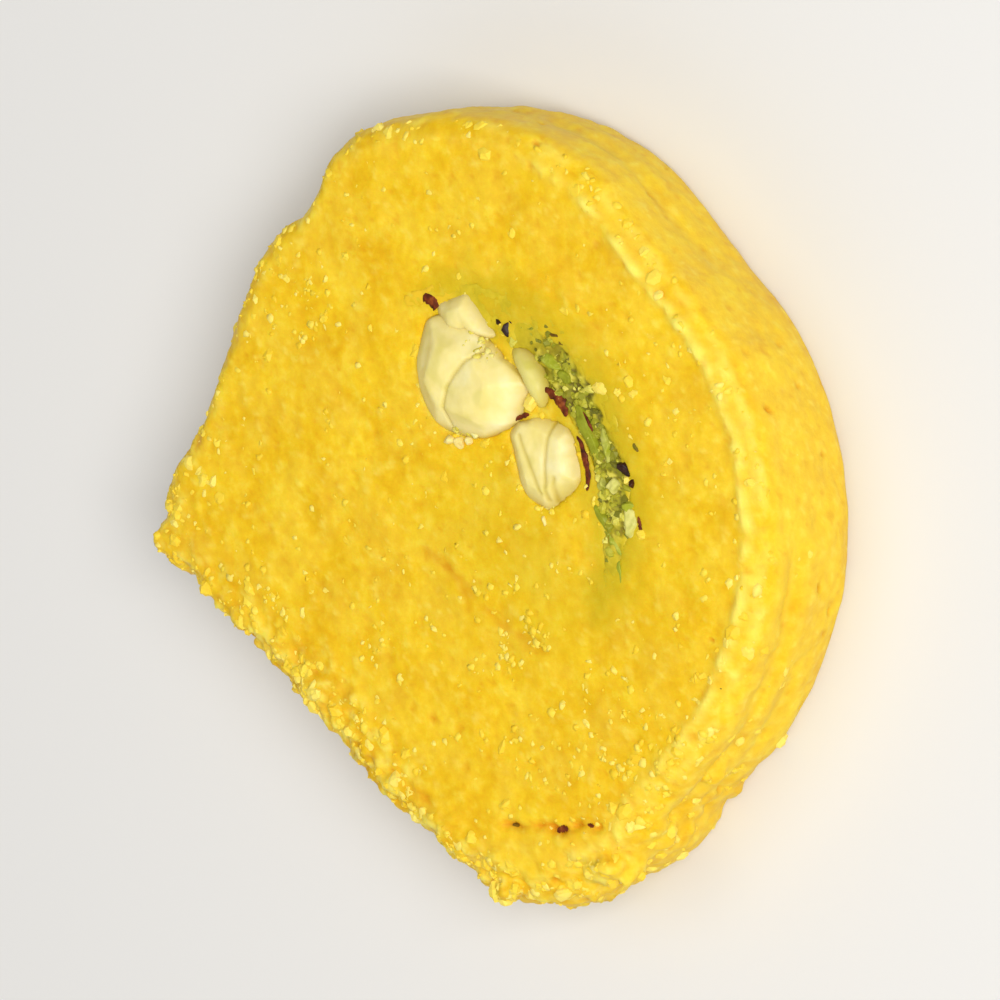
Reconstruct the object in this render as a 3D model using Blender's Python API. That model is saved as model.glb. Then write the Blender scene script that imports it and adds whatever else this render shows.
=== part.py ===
"""One slice of a rolled patisa, lying on its back cut face.

A log of soft yellow sweet is rolled round a filling of chopped pistachio and cashew, then cut across.
The slice is a disc with two sides pressed flat. A bent band of pistachio runs through it from face to
face, and four pieces of cashew sit in the front face, on the hollow side of that band.

Metres, +Z up. +Z is the front cut face's normal, and the back cut face lies on Z = 0. The origin is
below the middle of the slice. Shapes are set out from the roll's own centre, which is a little off the
origin, because the flats are on one side.
"""

import math

import bmesh
import bpy
from mathutils import Matrix, Vector, noise

MM = 0.001

# The disc.
ROLL_RADIUS = 28.6 * MM
SLICE_THICKNESS = 11.0 * MM
FRONT_EDGE_ROUND = 1.5 * MM
BACK_EDGE_ROUND = 0.9 * MM
SIDE_BULGE = 0.45 * MM

# Flats where the log was pressed: direction in degrees from +X, and distance from the roll's centre.
FLATS = ((131.0, 20.4 * MM), (57.0, 23.8 * MM))
CORNER_SHARPNESS = 12.0

# Swells and dents of the outline: direction, half width in degrees, and rise.
SWELLS = (
    (80.0, 7.0, 1.6 * MM),
    (100.0, 6.0, 0.9 * MM),
    (188.0, 9.0, 1.0 * MM),
    (214.0, 9.0, -0.6 * MM),
    (254.0, 18.0, 0.6 * MM),
    (305.0, 15.0, -1.5 * MM),
    (344.0, 13.0, 0.2 * MM),
)
LAP_NOTCH = (22.0, 8.0, -2.0 * MM)  # where the rolled sheet's outer end laps over

# A shred of the front edge that sticks out, and how far down the side it reaches.
TORN_LIP = (88.5, 3.2, 3.0 * MM)
TORN_LIP_DEPTH = 3.5 * MM

# The front edge has crumbled away at the foot of the long flat: direction, half width and depth.
BROKEN_CORNER = (188.0, 15.0, 2.6 * MM)
BROKEN_INSET_SHARE = 0.6

# How rough the rim is: crumbly along the long flat, rubbed smooth elsewhere.
CRUMBLY_DIRECTION = 140.0
CRUMBLY_SPREAD = 62.0
CRAG_HEIGHT = 0.85 * MM
CRAG_SIZE = 2.6 * MM
CRAG_FALL_OFF = 0.9
CRAG_LACUNARITY = 2.1
CRAG_OCTAVES = 3
SMOOTH_RIM_SHARE = 0.22
FACE_RELIEF = 0.12 * MM
FACE_RELIEF_SIZE = 5.0 * MM
ROUGH_FACE_FROM = 0.75  # share of the face's radius where the rim's crags start
ROUGH_FACE_SHARE = 0.5  # height of those crags at the face's edge, of their height on the side

# Creases that run round the side where the rolled sheet folded: height, depth, first and last direction.
SIDE_CREASES = (
    (7.4 * MM, 0.5 * MM, 196.0, 262.0),
    (4.6 * MM, 0.45 * MM, 205.0, 244.0),
    (5.6 * MM, 0.35 * MM, 300.0, 352.0),
)
CREASE_HALF_WIDTH = 0.9 * MM
CREASE_FADE = 9.0  # degrees

# Mesh of the disc: shares of the face's and the back's radius, and steps between them.
SEGMENTS = 136
FACE_SHARES = (0.0, 0.2, 0.4, 0.6, 0.78, 0.91, 1.0)
EDGE_STEPS = 4
SIDE_STEPS = 6
BACK_EDGE_STEPS = 3
BACK_SHARES = (0.5, 0.0)

# The band of pistachio: a bow that opens slowly from its first end to its last, set out from a point
# near the roll's centre.
BAND_CENTRE = (1.0 * MM, 0.0)
BAND_START = 4.0
BAND_END = -123.0
BAND_START_RADIUS = 14.4 * MM
BAND_END_RADIUS = 16.4 * MM
BAND_WIDTH = 3.7 * MM
BAND_TIP_WIDTH = 0.9 * MM
BAND_WIDEST = 0.55  # share of its length where the band is widest
BAND_FULLNESS = 0.8  # below 1 keeps it wide towards its ends
BAND_EDGE_WAVE = 0.35 * MM
BAND_WAVE_LENGTH = 2.0 * MM
BAND_LENGTH_STEPS = 44
BAND_WIDTH_STEPS = 4
BAND_RELIEF = 0.3 * MM

# Chopped pistachio that stands out of the band: place from the roll's centre, length and width, turn.
PISTACHIO_CHOPS = (
    ((15.2 * MM, -2.6 * MM), (2.6 * MM, 1.2 * MM), 95.0),
    ((14.0 * MM, -6.9 * MM), (2.4 * MM, 1.4 * MM), 62.0),
    ((12.3 * MM, -8.6 * MM), (1.9 * MM, 1.5 * MM), 30.0),
    ((11.3 * MM, -11.5 * MM), (2.4 * MM, 1.9 * MM), -20.0),
    ((9.1 * MM, -11.4 * MM), (2.3 * MM, 1.7 * MM), 40.0),
    ((5.7 * MM, -13.2 * MM), (4.0 * MM, 1.3 * MM), 19.0),
    ((5.3 * MM, -14.5 * MM), (2.0 * MM, 0.9 * MM), 28.0),
    ((2.1 * MM, -14.9 * MM), (3.5 * MM, 2.0 * MM), 6.0),
    ((2.3 * MM, -17.3 * MM), (1.7 * MM, 1.5 * MM), 50.0),
    ((-0.4 * MM, -16.2 * MM), (2.1 * MM, 1.4 * MM), -60.0),
    ((-1.7 * MM, -14.3 * MM), (2.0 * MM, 1.6 * MM), 10.0),
    ((-3.4 * MM, -16.1 * MM), (2.4 * MM, 1.8 * MM), -15.0),
    ((-5.2 * MM, -15.0 * MM), (2.1 * MM, 1.3 * MM), 20.0),
)
CHOP_HEIGHT = 1.7 * MM
CHOP_SINK = 0.3 * MM  # centre of a chop below the face
CHOP_SQUARENESS = 2.3
CHOP_TAPER = 0.25
CHOP_LUMPS = 0.12
CHOP_LUMP_SIZE = 1.6 * MM
CHOP_SIDES = 10
CHOP_RINGS = 6

# The cashew pieces: place from the roll's centre, half sizes, turn about Z. The large one is two lobes.
LARGE_OUTER_LOBE = ((9.8 * MM, -1.8 * MM, 9.7 * MM), (4.3 * MM, 2.8 * MM, 3.1 * MM), -5.0)
LARGE_INNER_LOBE = ((7.9 * MM, -4.8 * MM, 9.7 * MM), (4.2 * MM, 3.2 * MM, 3.4 * MM), 104.0)
SMALL_PIECE = ((2.6 * MM, -10.1 * MM, 9.6 * MM), (3.5 * MM, 3.2 * MM, 2.8 * MM), 10.0)
CHIP_PIECE = ((13.9 * MM, -3.7 * MM, 9.9 * MM), (2.5 * MM, 1.8 * MM, 2.1 * MM), 72.0)
NUT_SQUARENESS = 2.5
NUT_TAPER = 0.12
NUT_SIDES = 24
NUT_RINGS = 12

# A thin bowed piece of cashew that stands between the large piece and the band.
SLIVER_CENTRE = (7.4 * MM, -4.8 * MM)
SLIVER_RADIUS = 5.2 * MM
SLIVER_START = -31.0
SLIVER_END = -104.0
SLIVER_HALF_WIDTH = 0.6 * MM
SLIVER_HALF_HEIGHT = 2.0 * MM
SLIVER_CENTRE_HEIGHT = 9.8 * MM
SLIVER_SIDES = 10
SLIVER_RINGS = 14

GAP = 0.3 * MM  # between neighbouring pieces
SHARP_ANGLE = 40.0  # edges sharper than this stay crisp
WELD = 0.002 * MM
SCRAP_FACES = 60  # a loose island with fewer faces than this is dropped

# Each piece's colour and roughness.
LOOKS = {
    "patisa_body": ((0.89, 0.58, 0.03), 0.55),
    "pistachio_band": ((0.34, 0.36, 0.03), 0.6),
    "cashew_large": ((0.91, 0.75, 0.29), 0.45),
    "cashew_small": ((0.88, 0.72, 0.26), 0.45),
    "cashew_chip": ((0.89, 0.76, 0.32), 0.45),
    "cashew_sliver": ((0.8, 0.68, 0.2), 0.45),
}


def heading(angle):
    """Unit vector in the slice's plane, angle in degrees from +X."""
    return Vector((math.cos(math.radians(angle)), math.sin(math.radians(angle)), 0.0))


def bell(angle, direction, half_width):
    """1 in the given direction, falling smoothly to 0 a few half widths away. Degrees."""
    apart = (angle - direction + 180.0) % 360.0 - 180.0
    return math.exp(-((apart / half_width) ** 2))


def bump(angle, settings):
    """Rise at angle of a swell or dent given as direction, half width and rise."""
    direction, half_width, rise = settings
    return rise * bell(angle, direction, half_width)


def outline(angle):
    """Distance from the roll's centre to the outline, without the torn lip."""
    total = ROLL_RADIUS**-CORNER_SHARPNESS
    for direction, distance in FLATS:
        facing = math.cos(math.radians(angle - direction))
        if facing > 0.0:
            total += (facing / distance) ** CORNER_SHARPNESS
    round_and_flat = total ** (-1.0 / CORNER_SHARPNESS)
    return round_and_flat + sum(bump(angle, swell) for swell in (*SWELLS, LAP_NOTCH))


def disc_stations():
    """The disc's rings as (part, share along that part), from the front's middle to the back's."""
    stations = [("face", share) for share in FACE_SHARES]
    stations += [("edge", step / EDGE_STEPS) for step in range(1, EDGE_STEPS + 1)]
    stations += [("side", step / SIDE_STEPS) for step in range(1, SIDE_STEPS)]
    stations += [("back edge", step / BACK_EDGE_STEPS) for step in range(BACK_EDGE_STEPS + 1)]
    return stations + [("back", share) for share in BACK_SHARES]


def profile(part, share, angle):
    """Distance from the roll's axis and height of a ring, before the crags."""
    reach = outline(angle)
    broken = bump(angle, BROKEN_CORNER)
    inset = FRONT_EDGE_ROUND + BROKEN_INSET_SHARE * broken
    drop = FRONT_EDGE_ROUND + broken
    turn = math.radians(90.0 * share)
    if part == "face":
        return (reach + bump(angle, TORN_LIP) - inset) * share, SLICE_THICKNESS
    if part == "back edge":
        return reach - BACK_EDGE_ROUND * (1.0 - math.cos(turn)), BACK_EDGE_ROUND * (1.0 - math.sin(turn))
    if part == "back":
        return (reach - BACK_EDGE_ROUND) * share, 0.0
    if part == "edge":
        radius = reach - inset * (1.0 - math.sin(turn))
        height = SLICE_THICKNESS - drop * (1.0 - math.cos(turn))
    else:
        top = SLICE_THICKNESS - drop
        radius = reach
        height = top + (BACK_EDGE_ROUND - top) * share
    lip = bump(angle, TORN_LIP) * max(0.0, 1.0 - (SLICE_THICKNESS - height) / TORN_LIP_DEPTH)
    bulge = SIDE_BULGE * math.sin(math.pi * height / SLICE_THICKNESS)
    return radius + lip + bulge - crease_depth(angle, height), height


def crag(point, size):
    """Smooth noise from about -1 to 1, with lumps of the given size."""
    return noise.fractal(Vector(point) / size, CRAG_FALL_OFF, CRAG_LACUNARITY, CRAG_OCTAVES)


def crease_depth(angle, height):
    """How far the side is drawn in by the creases at this place."""
    depth = 0.0
    for level, deepest, first, last in SIDE_CREASES:
        along = min(angle - first, last - angle) / CREASE_FADE
        across = math.exp(-(((height - level) / CREASE_HALF_WIDTH) ** 2))
        depth += deepest * max(0.0, min(1.0, along)) * across
    return depth


def disc_point(part, share, angle):
    """A point of the disc's surface, with the crags of the rim and the face's slight relief."""
    radius, height = profile(part, share, angle)
    outward = heading(angle)
    point = outward * radius + Vector((0.0, 0.0, height))
    smooth = 1.0 - bell(angle, CRUMBLY_DIRECTION, CRUMBLY_SPREAD)
    rough = CRAG_HEIGHT * (1.0 + (SMOOTH_RIM_SHARE - 1.0) * smooth) * crag(point, CRAG_SIZE)
    if part == "face":
        near_rim = max(0.0, share - ROUGH_FACE_FROM) / (1.0 - ROUGH_FACE_FROM)
        point.z += FACE_RELIEF * crag(point, FACE_RELIEF_SIZE) + ROUGH_FACE_SHARE * rough * near_rim**2
    elif part in ("edge", "side"):
        point += outward * rough
    elif part == "back edge":
        point += outward * rough * height / BACK_EDGE_ROUND
    return point


def disc(bm):
    """The whole disc, from a sphere whose rings are moved to the stations."""
    stations = disc_stations()
    rings = len(stations) - 1
    bmesh.ops.create_uvsphere(bm, u_segments=SEGMENTS, v_segments=rings, radius=1.0)
    for vertex in bm.verts:
        polar = math.acos(max(-1.0, min(1.0, vertex.co.z)))
        part, share = stations[round(polar / math.pi * rings)]
        angle = math.degrees(math.atan2(vertex.co.y, vertex.co.x)) % 360.0
        vertex.co = disc_point(part, share, angle)


def band_point(along, across):
    """A point of the band in the slice's plane: along is 0 to 1, and across is the distance from its
    middle line, away from the roll's centre."""
    angle = BAND_START + (BAND_END - BAND_START) * along
    radius = BAND_START_RADIUS + (BAND_END_RADIUS - BAND_START_RADIUS) * along + across
    return Vector((*BAND_CENTRE, 0.0)) + heading(angle) * radius


def band_edge(along, side):
    """Distance of the band's outer (side 1) or inner (side -1) edge from its middle line. The band is
    widest a little past its middle and runs out thin at both ends."""
    shift = math.log(0.5) / math.log(BAND_WIDEST)
    full = math.sin(math.pi * min(1.0, max(0.0, along)) ** shift) ** BAND_FULLNESS
    half = (BAND_TIP_WIDTH + (BAND_WIDTH - BAND_TIP_WIDTH) * full) / 2.0
    wave = noise.noise(band_point(along, side * half) / BAND_WAVE_LENGTH)
    return side * half + BAND_EDGE_WAVE * wave


def band(grow, top, bottom, relief):
    """Maker of the band as a solid from bottom to top, wider by grow all round."""

    def make(bm):
        bmesh.ops.create_grid(bm, x_segments=BAND_LENGTH_STEPS, y_segments=BAND_WIDTH_STEPS, size=0.5)
        stretch = grow / (BAND_START_RADIUS * math.radians(BAND_START - BAND_END))
        for vertex in bm.verts:
            along = vertex.co.x + 0.5
            outer = band_edge(along, 1) + grow
            inner = band_edge(along, -1) - grow
            across = inner + (outer - inner) * (vertex.co.y + 0.5)
            vertex.co = band_point(along * (1.0 + 2.0 * stretch) - stretch, across)
            vertex.co.z = top + relief * crag(vertex.co, CRAG_SIZE)
        walls = bmesh.ops.extrude_face_region(bm, geom=bm.faces[:])
        for item in walls["geom"]:
            if isinstance(item, bmesh.types.BMVert):
                item.co.z = bottom

    return make


def lump(centre, half_sizes, turn, squareness, taper, sides, rings, roughness=0.0):
    """Maker of a rounded lump: a sphere stretched to half_sizes, squared up, narrowed towards its -X end
    by taper and turned about Z."""

    def make(bm):
        bmesh.ops.create_uvsphere(bm, u_segments=sides, v_segments=rings, radius=1.0)
        turned = Matrix.Rotation(math.radians(turn), 3, "Z")
        for vertex in bm.verts:
            size = sum(abs(value) ** squareness for value in vertex.co) ** (1.0 / squareness)
            square = vertex.co / size
            narrow = 1.0 - taper * (1.0 - square.x) / 2.0
            local = square * Vector((1.0, narrow, 1.0)) * Vector(half_sizes)
            local *= 1.0 + roughness * crag(local + Vector(centre), CHOP_LUMP_SIZE)
            vertex.co = Vector(centre) + turned @ local

    return make


def nut(piece):
    """Maker of one rounded lump of cashew."""
    centre, half_sizes, turn = piece
    return lump(centre, half_sizes, turn, NUT_SQUARENESS, NUT_TAPER, NUT_SIDES, NUT_RINGS)


def chop(place, size, turn):
    """Maker of one chop of pistachio on the band."""
    centre = (*place, SLICE_THICKNESS - CHOP_SINK)
    half_sizes = (size[0] / 2, size[1] / 2, CHOP_HEIGHT / 2)
    return lump(centre, half_sizes, turn, CHOP_SQUARENESS, CHOP_TAPER, CHOP_SIDES, CHOP_RINGS, CHOP_LUMPS)


def sliver(bm):
    """The thin bowed piece: a sphere drawn out along an arc round the large piece."""
    bmesh.ops.create_uvsphere(bm, u_segments=SLIVER_SIDES, v_segments=SLIVER_RINGS, radius=1.0)
    for vertex in bm.verts:
        along = (1.0 - vertex.co.z) / 2.0
        angle = SLIVER_START + (SLIVER_END - SLIVER_START) * along
        place = heading(angle) * (SLIVER_RADIUS + vertex.co.x * SLIVER_HALF_WIDTH)
        height = SLIVER_CENTRE_HEIGHT + vertex.co.y * SLIVER_HALF_HEIGHT
        vertex.co = Vector((*SLIVER_CENTRE, height)) + place


NUTS = {
    "large": (nut(LARGE_OUTER_LOBE), nut(LARGE_INNER_LOBE)),
    "small": (nut(SMALL_PIECE),),
    "chip": (nut(CHIP_PIECE),),
    "sliver": (sliver,),
}


def new_object(name, maker, collection, grow=0.0):
    """An object whose closed mesh is made by maker, with its skin moved outwards by grow."""
    bm = bmesh.new()
    maker(bm)
    bmesh.ops.recalc_face_normals(bm, faces=bm.faces)
    if bm.calc_volume(signed=True) < 0.0:
        bmesh.ops.reverse_faces(bm, faces=bm.faces)
    bm.normal_update()
    moves = [vertex.normal * grow for vertex in bm.verts]
    for vertex, move in zip(bm.verts, moves):
        vertex.co += move
    mesh = bpy.data.meshes.new(name)
    bm.to_mesh(mesh)
    bm.free()
    obj = bpy.data.objects.new(name, mesh)
    collection.objects.link(obj)
    return obj


def add_nuts(kinds, collection):
    """Grown copies of the named cashew pieces, to cut room for them."""
    for kind in kinds:
        for i, maker in enumerate(NUTS[kind]):
            new_object(f"{kind}_cutter_{i}", maker, collection, GAP)


def add_chops(collection, grow=0.0):
    """All the chops of pistachio, each its own object."""
    for i, settings in enumerate(PISTACHIO_CHOPS):
        new_object(f"chop_{i}", chop(*settings), collection, grow)


def apply_boolean(obj, operands, operation):
    """Joins obj with the operands' objects (UNION) or cuts it by them (DIFFERENCE), and removes them."""
    for operand in operands.objects:
        operand.hide_render = True
        operand.display_type = "WIRE"
    boolean = obj.modifiers.new("combine", "BOOLEAN")
    boolean.operation = operation
    boolean.operand_type = "COLLECTION"
    boolean.collection = operands
    boolean.solver = "EXACT"
    evaluated = obj.evaluated_get(bpy.context.evaluated_depsgraph_get())
    plain = obj.data
    obj.data = bpy.data.meshes.new_from_object(evaluated)
    obj.modifiers.remove(boolean)
    bpy.data.meshes.remove(plain)
    for operand in list(operands.objects):
        bpy.data.objects.remove(operand)


def island_of(face):
    """All the faces joined to this one by edges."""
    island, waiting = set(), [face]
    while waiting:
        found = waiting.pop()
        if found not in island:
            island.add(found)
            waiting.extend(other for edge in found.edges for other in edge.link_faces)
    return island


def drop_scraps(obj):
    """Removes the small loose islands that a cut left."""
    bm = bmesh.new()
    bm.from_mesh(obj.data)
    bmesh.ops.remove_doubles(bm, verts=bm.verts, dist=WELD)
    unseen = set(bm.faces)
    scraps = []
    while unseen:
        island = island_of(next(iter(unseen)))
        unseen -= island
        if len(island) < SCRAP_FACES:
            scraps.extend(island)
    bmesh.ops.delete(bm, geom=scraps, context="FACES")
    bm.to_mesh(obj.data)
    bm.free()


def middle_of(obj):
    """Middle of the object's box in the slice's plane."""
    xs = [vertex.co.x for vertex in obj.data.vertices]
    ys = [vertex.co.y for vertex in obj.data.vertices]
    return Vector(((min(xs) + max(xs)) / 2, (min(ys) + max(ys)) / 2, 0.0))


def finish(obj, origin):
    """Gives the piece its material, its shading and its place about the slice's origin."""
    colour, roughness = LOOKS[obj.name]
    material = bpy.data.materials.new(obj.name)
    material.use_nodes = True
    shader = material.node_tree.nodes["Principled BSDF"]
    shader.inputs["Base Color"].default_value = (*colour, 1.0)
    shader.inputs["Roughness"].default_value = roughness
    shader.inputs["Metallic"].default_value = 0.0
    obj.data.materials.clear()
    obj.data.materials.append(material)
    obj.data.shade_smooth()
    obj.data.set_sharp_from_angle(angle=math.radians(SHARP_ANGLE))
    obj.location = -origin


def build():
    for obj in list(bpy.data.objects):
        bpy.data.objects.remove(obj)
    parts = bpy.data.collections.new("patisa_slice")
    cutters = bpy.data.collections.new("cutters")
    bpy.context.scene.collection.children.link(parts)
    bpy.context.scene.collection.children.link(cutters)

    large = new_object("cashew_large", nut(LARGE_OUTER_LOBE), parts)
    new_object("inner_lobe", nut(LARGE_INNER_LOBE), cutters)
    apply_boolean(large, cutters, "UNION")

    small = new_object("cashew_small", nut(SMALL_PIECE), parts)
    add_nuts(["large"], cutters)
    apply_boolean(small, cutters, "DIFFERENCE")

    chip = new_object("cashew_chip", nut(CHIP_PIECE), parts)
    add_nuts(["large"], cutters)
    apply_boolean(chip, cutters, "DIFFERENCE")

    thin = new_object("cashew_sliver", sliver, parts)
    add_nuts(["large", "small", "chip"], cutters)
    apply_boolean(thin, cutters, "DIFFERENCE")

    filling = new_object("pistachio_band", band(0.0, SLICE_THICKNESS, 0.0, BAND_RELIEF), parts)
    add_chops(cutters)
    apply_boolean(filling, cutters, "UNION")
    add_nuts(NUTS, cutters)
    apply_boolean(filling, cutters, "DIFFERENCE")

    body = new_object("patisa_body", disc, parts)
    new_object("band_cutter", band(GAP, 2.0 * SLICE_THICKNESS, -SLICE_THICKNESS, 0.0), cutters)
    add_chops(cutters, GAP)
    add_nuts(NUTS, cutters)
    apply_boolean(body, cutters, "DIFFERENCE")

    origin = middle_of(body)
    for obj in parts.objects:
        drop_scraps(obj)
        finish(obj, origin)


build()
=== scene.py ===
# A slice of rolled patisa with a pistachio and cashew filling, lying on its back cut face.
# Every form is set out in the roll's own coordinates, as the solids are, and moved into place at the end.
import math
import random

import bmesh
import bpy
import numpy as np
from mathutils import Matrix, Vector, noise


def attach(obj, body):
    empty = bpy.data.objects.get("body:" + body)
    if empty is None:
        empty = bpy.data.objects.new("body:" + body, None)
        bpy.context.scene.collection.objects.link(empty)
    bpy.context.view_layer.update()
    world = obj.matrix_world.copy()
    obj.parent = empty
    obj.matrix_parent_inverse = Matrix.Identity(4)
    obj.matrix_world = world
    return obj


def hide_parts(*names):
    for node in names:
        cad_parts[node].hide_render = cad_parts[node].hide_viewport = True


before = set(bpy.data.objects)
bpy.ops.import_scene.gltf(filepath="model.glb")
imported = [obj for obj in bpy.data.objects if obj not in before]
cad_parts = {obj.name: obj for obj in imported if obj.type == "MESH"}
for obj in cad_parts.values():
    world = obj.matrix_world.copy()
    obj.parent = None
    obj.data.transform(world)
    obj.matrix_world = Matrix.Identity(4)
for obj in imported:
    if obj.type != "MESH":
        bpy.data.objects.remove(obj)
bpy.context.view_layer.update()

mm = 0.001
rollCentre = Vector((0.364, 0.627, 0.0)) * mm  # the roll's own centre, seen from below the slice's middle
thickness = 11.0 * mm
scene = bpy.context.scene
print("frame loaded")


# Colours are sRGB hex codes; shaders take them as linear values.
def hexColour(code):
    channels = [int(code[i : i + 2], 16) / 255 for i in (1, 3, 5)]
    return (*[c / 12.92 if c <= 0.04045 else ((c + 0.055) / 1.055) ** 2.4 for c in channels], 1.0)


# Adds a node, its plain settings, its colour stops, and its inputs: a value, or a node or socket to link.
def addNode(tree, kind, inputs=None, stops=None, **settings):
    node = tree.nodes.new(kind)
    for key, value in settings.items():
        setattr(node, key, value)
    for i, (place, code) in enumerate(stops or ()):
        ramp = node.color_ramp
        stop = ramp.elements[i] if i < 2 else ramp.elements.new(place)
        stop.position = place
        stop.color = hexColour(code)
    for socket, value in (inputs or {}).items():
        target = node.inputs[socket]
        if isinstance(value, bpy.types.Node):
            value = value.outputs[0]
        if isinstance(value, bpy.types.NodeSocket):
            tree.links.new(value, target)
        else:
            target.default_value = value
    return node


# Measures of a set of points, one value a point. Sizes are in metres.
def noiseAt(points, size, octaves=1, shift=0.0):
    scaled = (points / size + shift).tolist()
    if octaves == 1:
        return np.array([noise.noise(p) for p in scaled])
    return np.array([noise.fractal(p, 0.9, 2.1, octaves) for p in scaled])


# Grains packed together: distance to the nearest grain's middle and to the next one's, in grain sizes,
# and a random number that each grain keeps.
def grainsAt(points, size, shift=0.0):
    found = [noise.voronoi(p) for p in (points / size + shift).tolist()]
    near = np.array([distances[0] for distances, middles in found])
    second = np.array([distances[1] for distances, middles in found])
    middles = np.array([tuple(middles[0]) for distances, middles in found])
    chance = np.sin(middles @ np.array((12.9898, 78.233, 37.719))) * 43758.5453
    return near, second, chance - np.floor(chance)


def eased(values, low, high):
    share = np.clip((values - low) / (high - low), 0.0, 1.0)
    return share * share * (3.0 - 2.0 * share)


# Distance in the slice's plane from each point to a line through the given places.
def lineDistance(points, line):
    best = np.full(len(points), 1.0)
    flat = points[:, :2]
    for first, second in zip(line, line[1:]):
        a, b = np.array(first), np.array(second)
        along = np.clip(((flat - a) @ (b - a)) / ((b - a) @ (b - a)), 0.0, 1.0)
        best = np.minimum(best, np.linalg.norm(flat - a - along[:, None] * (b - a), axis=1))
    return best


def inMillimetres(places):
    return tuple(tuple(value * mm for value in place) for place in places)


# Mesh work.
def linked(name, data):
    obj = bpy.data.objects.new(name, data)
    scene.collection.objects.link(obj)
    return obj


def newObject(name, vertices, faces):
    mesh = bpy.data.meshes.new(name)
    mesh.from_pydata([tuple(v) for v in vertices], [], faces)
    mesh.update()
    return linked(name, mesh)


def pointsOf(obj, what="co"):
    flat = np.zeros(len(obj.data.vertices) * 3)
    obj.data.vertices.foreach_get(what, flat)
    return flat.reshape(-1, 3)


def normalsOf(obj):
    return pointsOf(obj, "normal")


def movePoints(obj, points):
    obj.data.vertices.foreach_set("co", points.ravel())
    obj.data.update()


def keepValue(obj, name, values):
    attribute = obj.data.attributes.get(name) or obj.data.attributes.new(name, "FLOAT", "POINT")
    attribute.data.foreach_set("value", np.asarray(values, np.float32))


# Runs one modifier and keeps its result as the plain mesh.
def applied(obj, kind, **settings):
    modifier = obj.modifiers.new("step", kind)
    for key, value in settings.items():
        setattr(modifier, key, value)
    evaluated = obj.evaluated_get(bpy.context.evaluated_depsgraph_get())
    old = obj.data
    obj.data = bpy.data.meshes.new_from_object(evaluated)
    obj.modifiers.remove(modifier)
    bpy.data.meshes.remove(old)
    return obj


# Cuts obj by closed objects, or joins them to it, and removes them.
def combined(obj, others, operation):
    held = bpy.data.collections.new("held")
    scene.collection.children.link(held)
    for other in others:
        scene.collection.objects.unlink(other)
        held.objects.link(other)
    applied(obj, "BOOLEAN", operation=operation, operand_type="COLLECTION", collection=held, solver="EXACT")
    for other in others:
        bpy.data.objects.remove(other)
    bpy.data.collections.remove(held)
    return obj


# An even skin of small faces, slightly rounded, ready for fine relief.
def evenSkin(obj, voxel, rounds):
    applied(obj, "REMESH", mode="VOXEL", voxel_size=voxel, adaptivity=0.0)
    return applied(obj, "SMOOTH", factor=0.5, iterations=rounds)


# Rings of points from one pole to the other, closed with a point at each end.
def ringShape(name, rings, segments, pointAt):
    vertices = [pointAt(0, 0)]
    vertices += [pointAt(ring, s) for ring in range(1, rings) for s in range(segments)]
    vertices.append(pointAt(rings, 0))
    last = len(vertices) - 1
    faces = []
    for s in range(segments):
        t = (s + 1) % segments
        faces.append((0, 1 + s, 1 + t))
        for ring in range(rings - 2):
            a, b = 1 + ring * segments, 1 + (ring + 1) * segments
            faces.append((a + s, b + s, b + t, a + t))
        a = 1 + (rings - 2) * segments
        faces.append((a + s, last, a + t))
    return newObject(name, vertices, faces)


def outwards(obj):
    bm = bmesh.new()
    bm.from_mesh(obj.data)
    bmesh.ops.remove_doubles(bm, verts=bm.verts, dist=0.001 * mm)
    bmesh.ops.recalc_face_normals(bm, faces=bm.faces)
    if bm.calc_volume(signed=True) < 0.0:
        bmesh.ops.reverse_faces(bm, faces=bm.faces)
    bm.to_mesh(obj.data)
    bm.free()
    return obj


def grown(obj, distance):
    movePoints(obj, pointsOf(obj) + normalsOf(obj) * distance)
    return obj


# Joins finished parts of one piece into a single mesh.
def joined(name, parts):
    bm = bmesh.new()
    for part in parts:
        bm.from_mesh(part.data)
    for part in parts:
        bpy.data.objects.remove(part)
    mesh = bpy.data.meshes.new(name)
    bm.to_mesh(mesh)
    bm.free()
    return linked(name, mesh)


# Gives a finished piece its material and place, and ties it to the frame.
def finished(obj, material, slot, *nodes):
    obj.data.materials.clear()
    obj.data.materials.append(material)
    obj.data.transform(Matrix.Translation(rollCentre))
    obj.data.shade_smooth()
    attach(obj, "root")
    if nodes:
        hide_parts(*nodes)
    print(f"{obj.name}: {sum(len(p.vertices) - 2 for p in obj.data.polygons)} triangles")
    return obj


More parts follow.
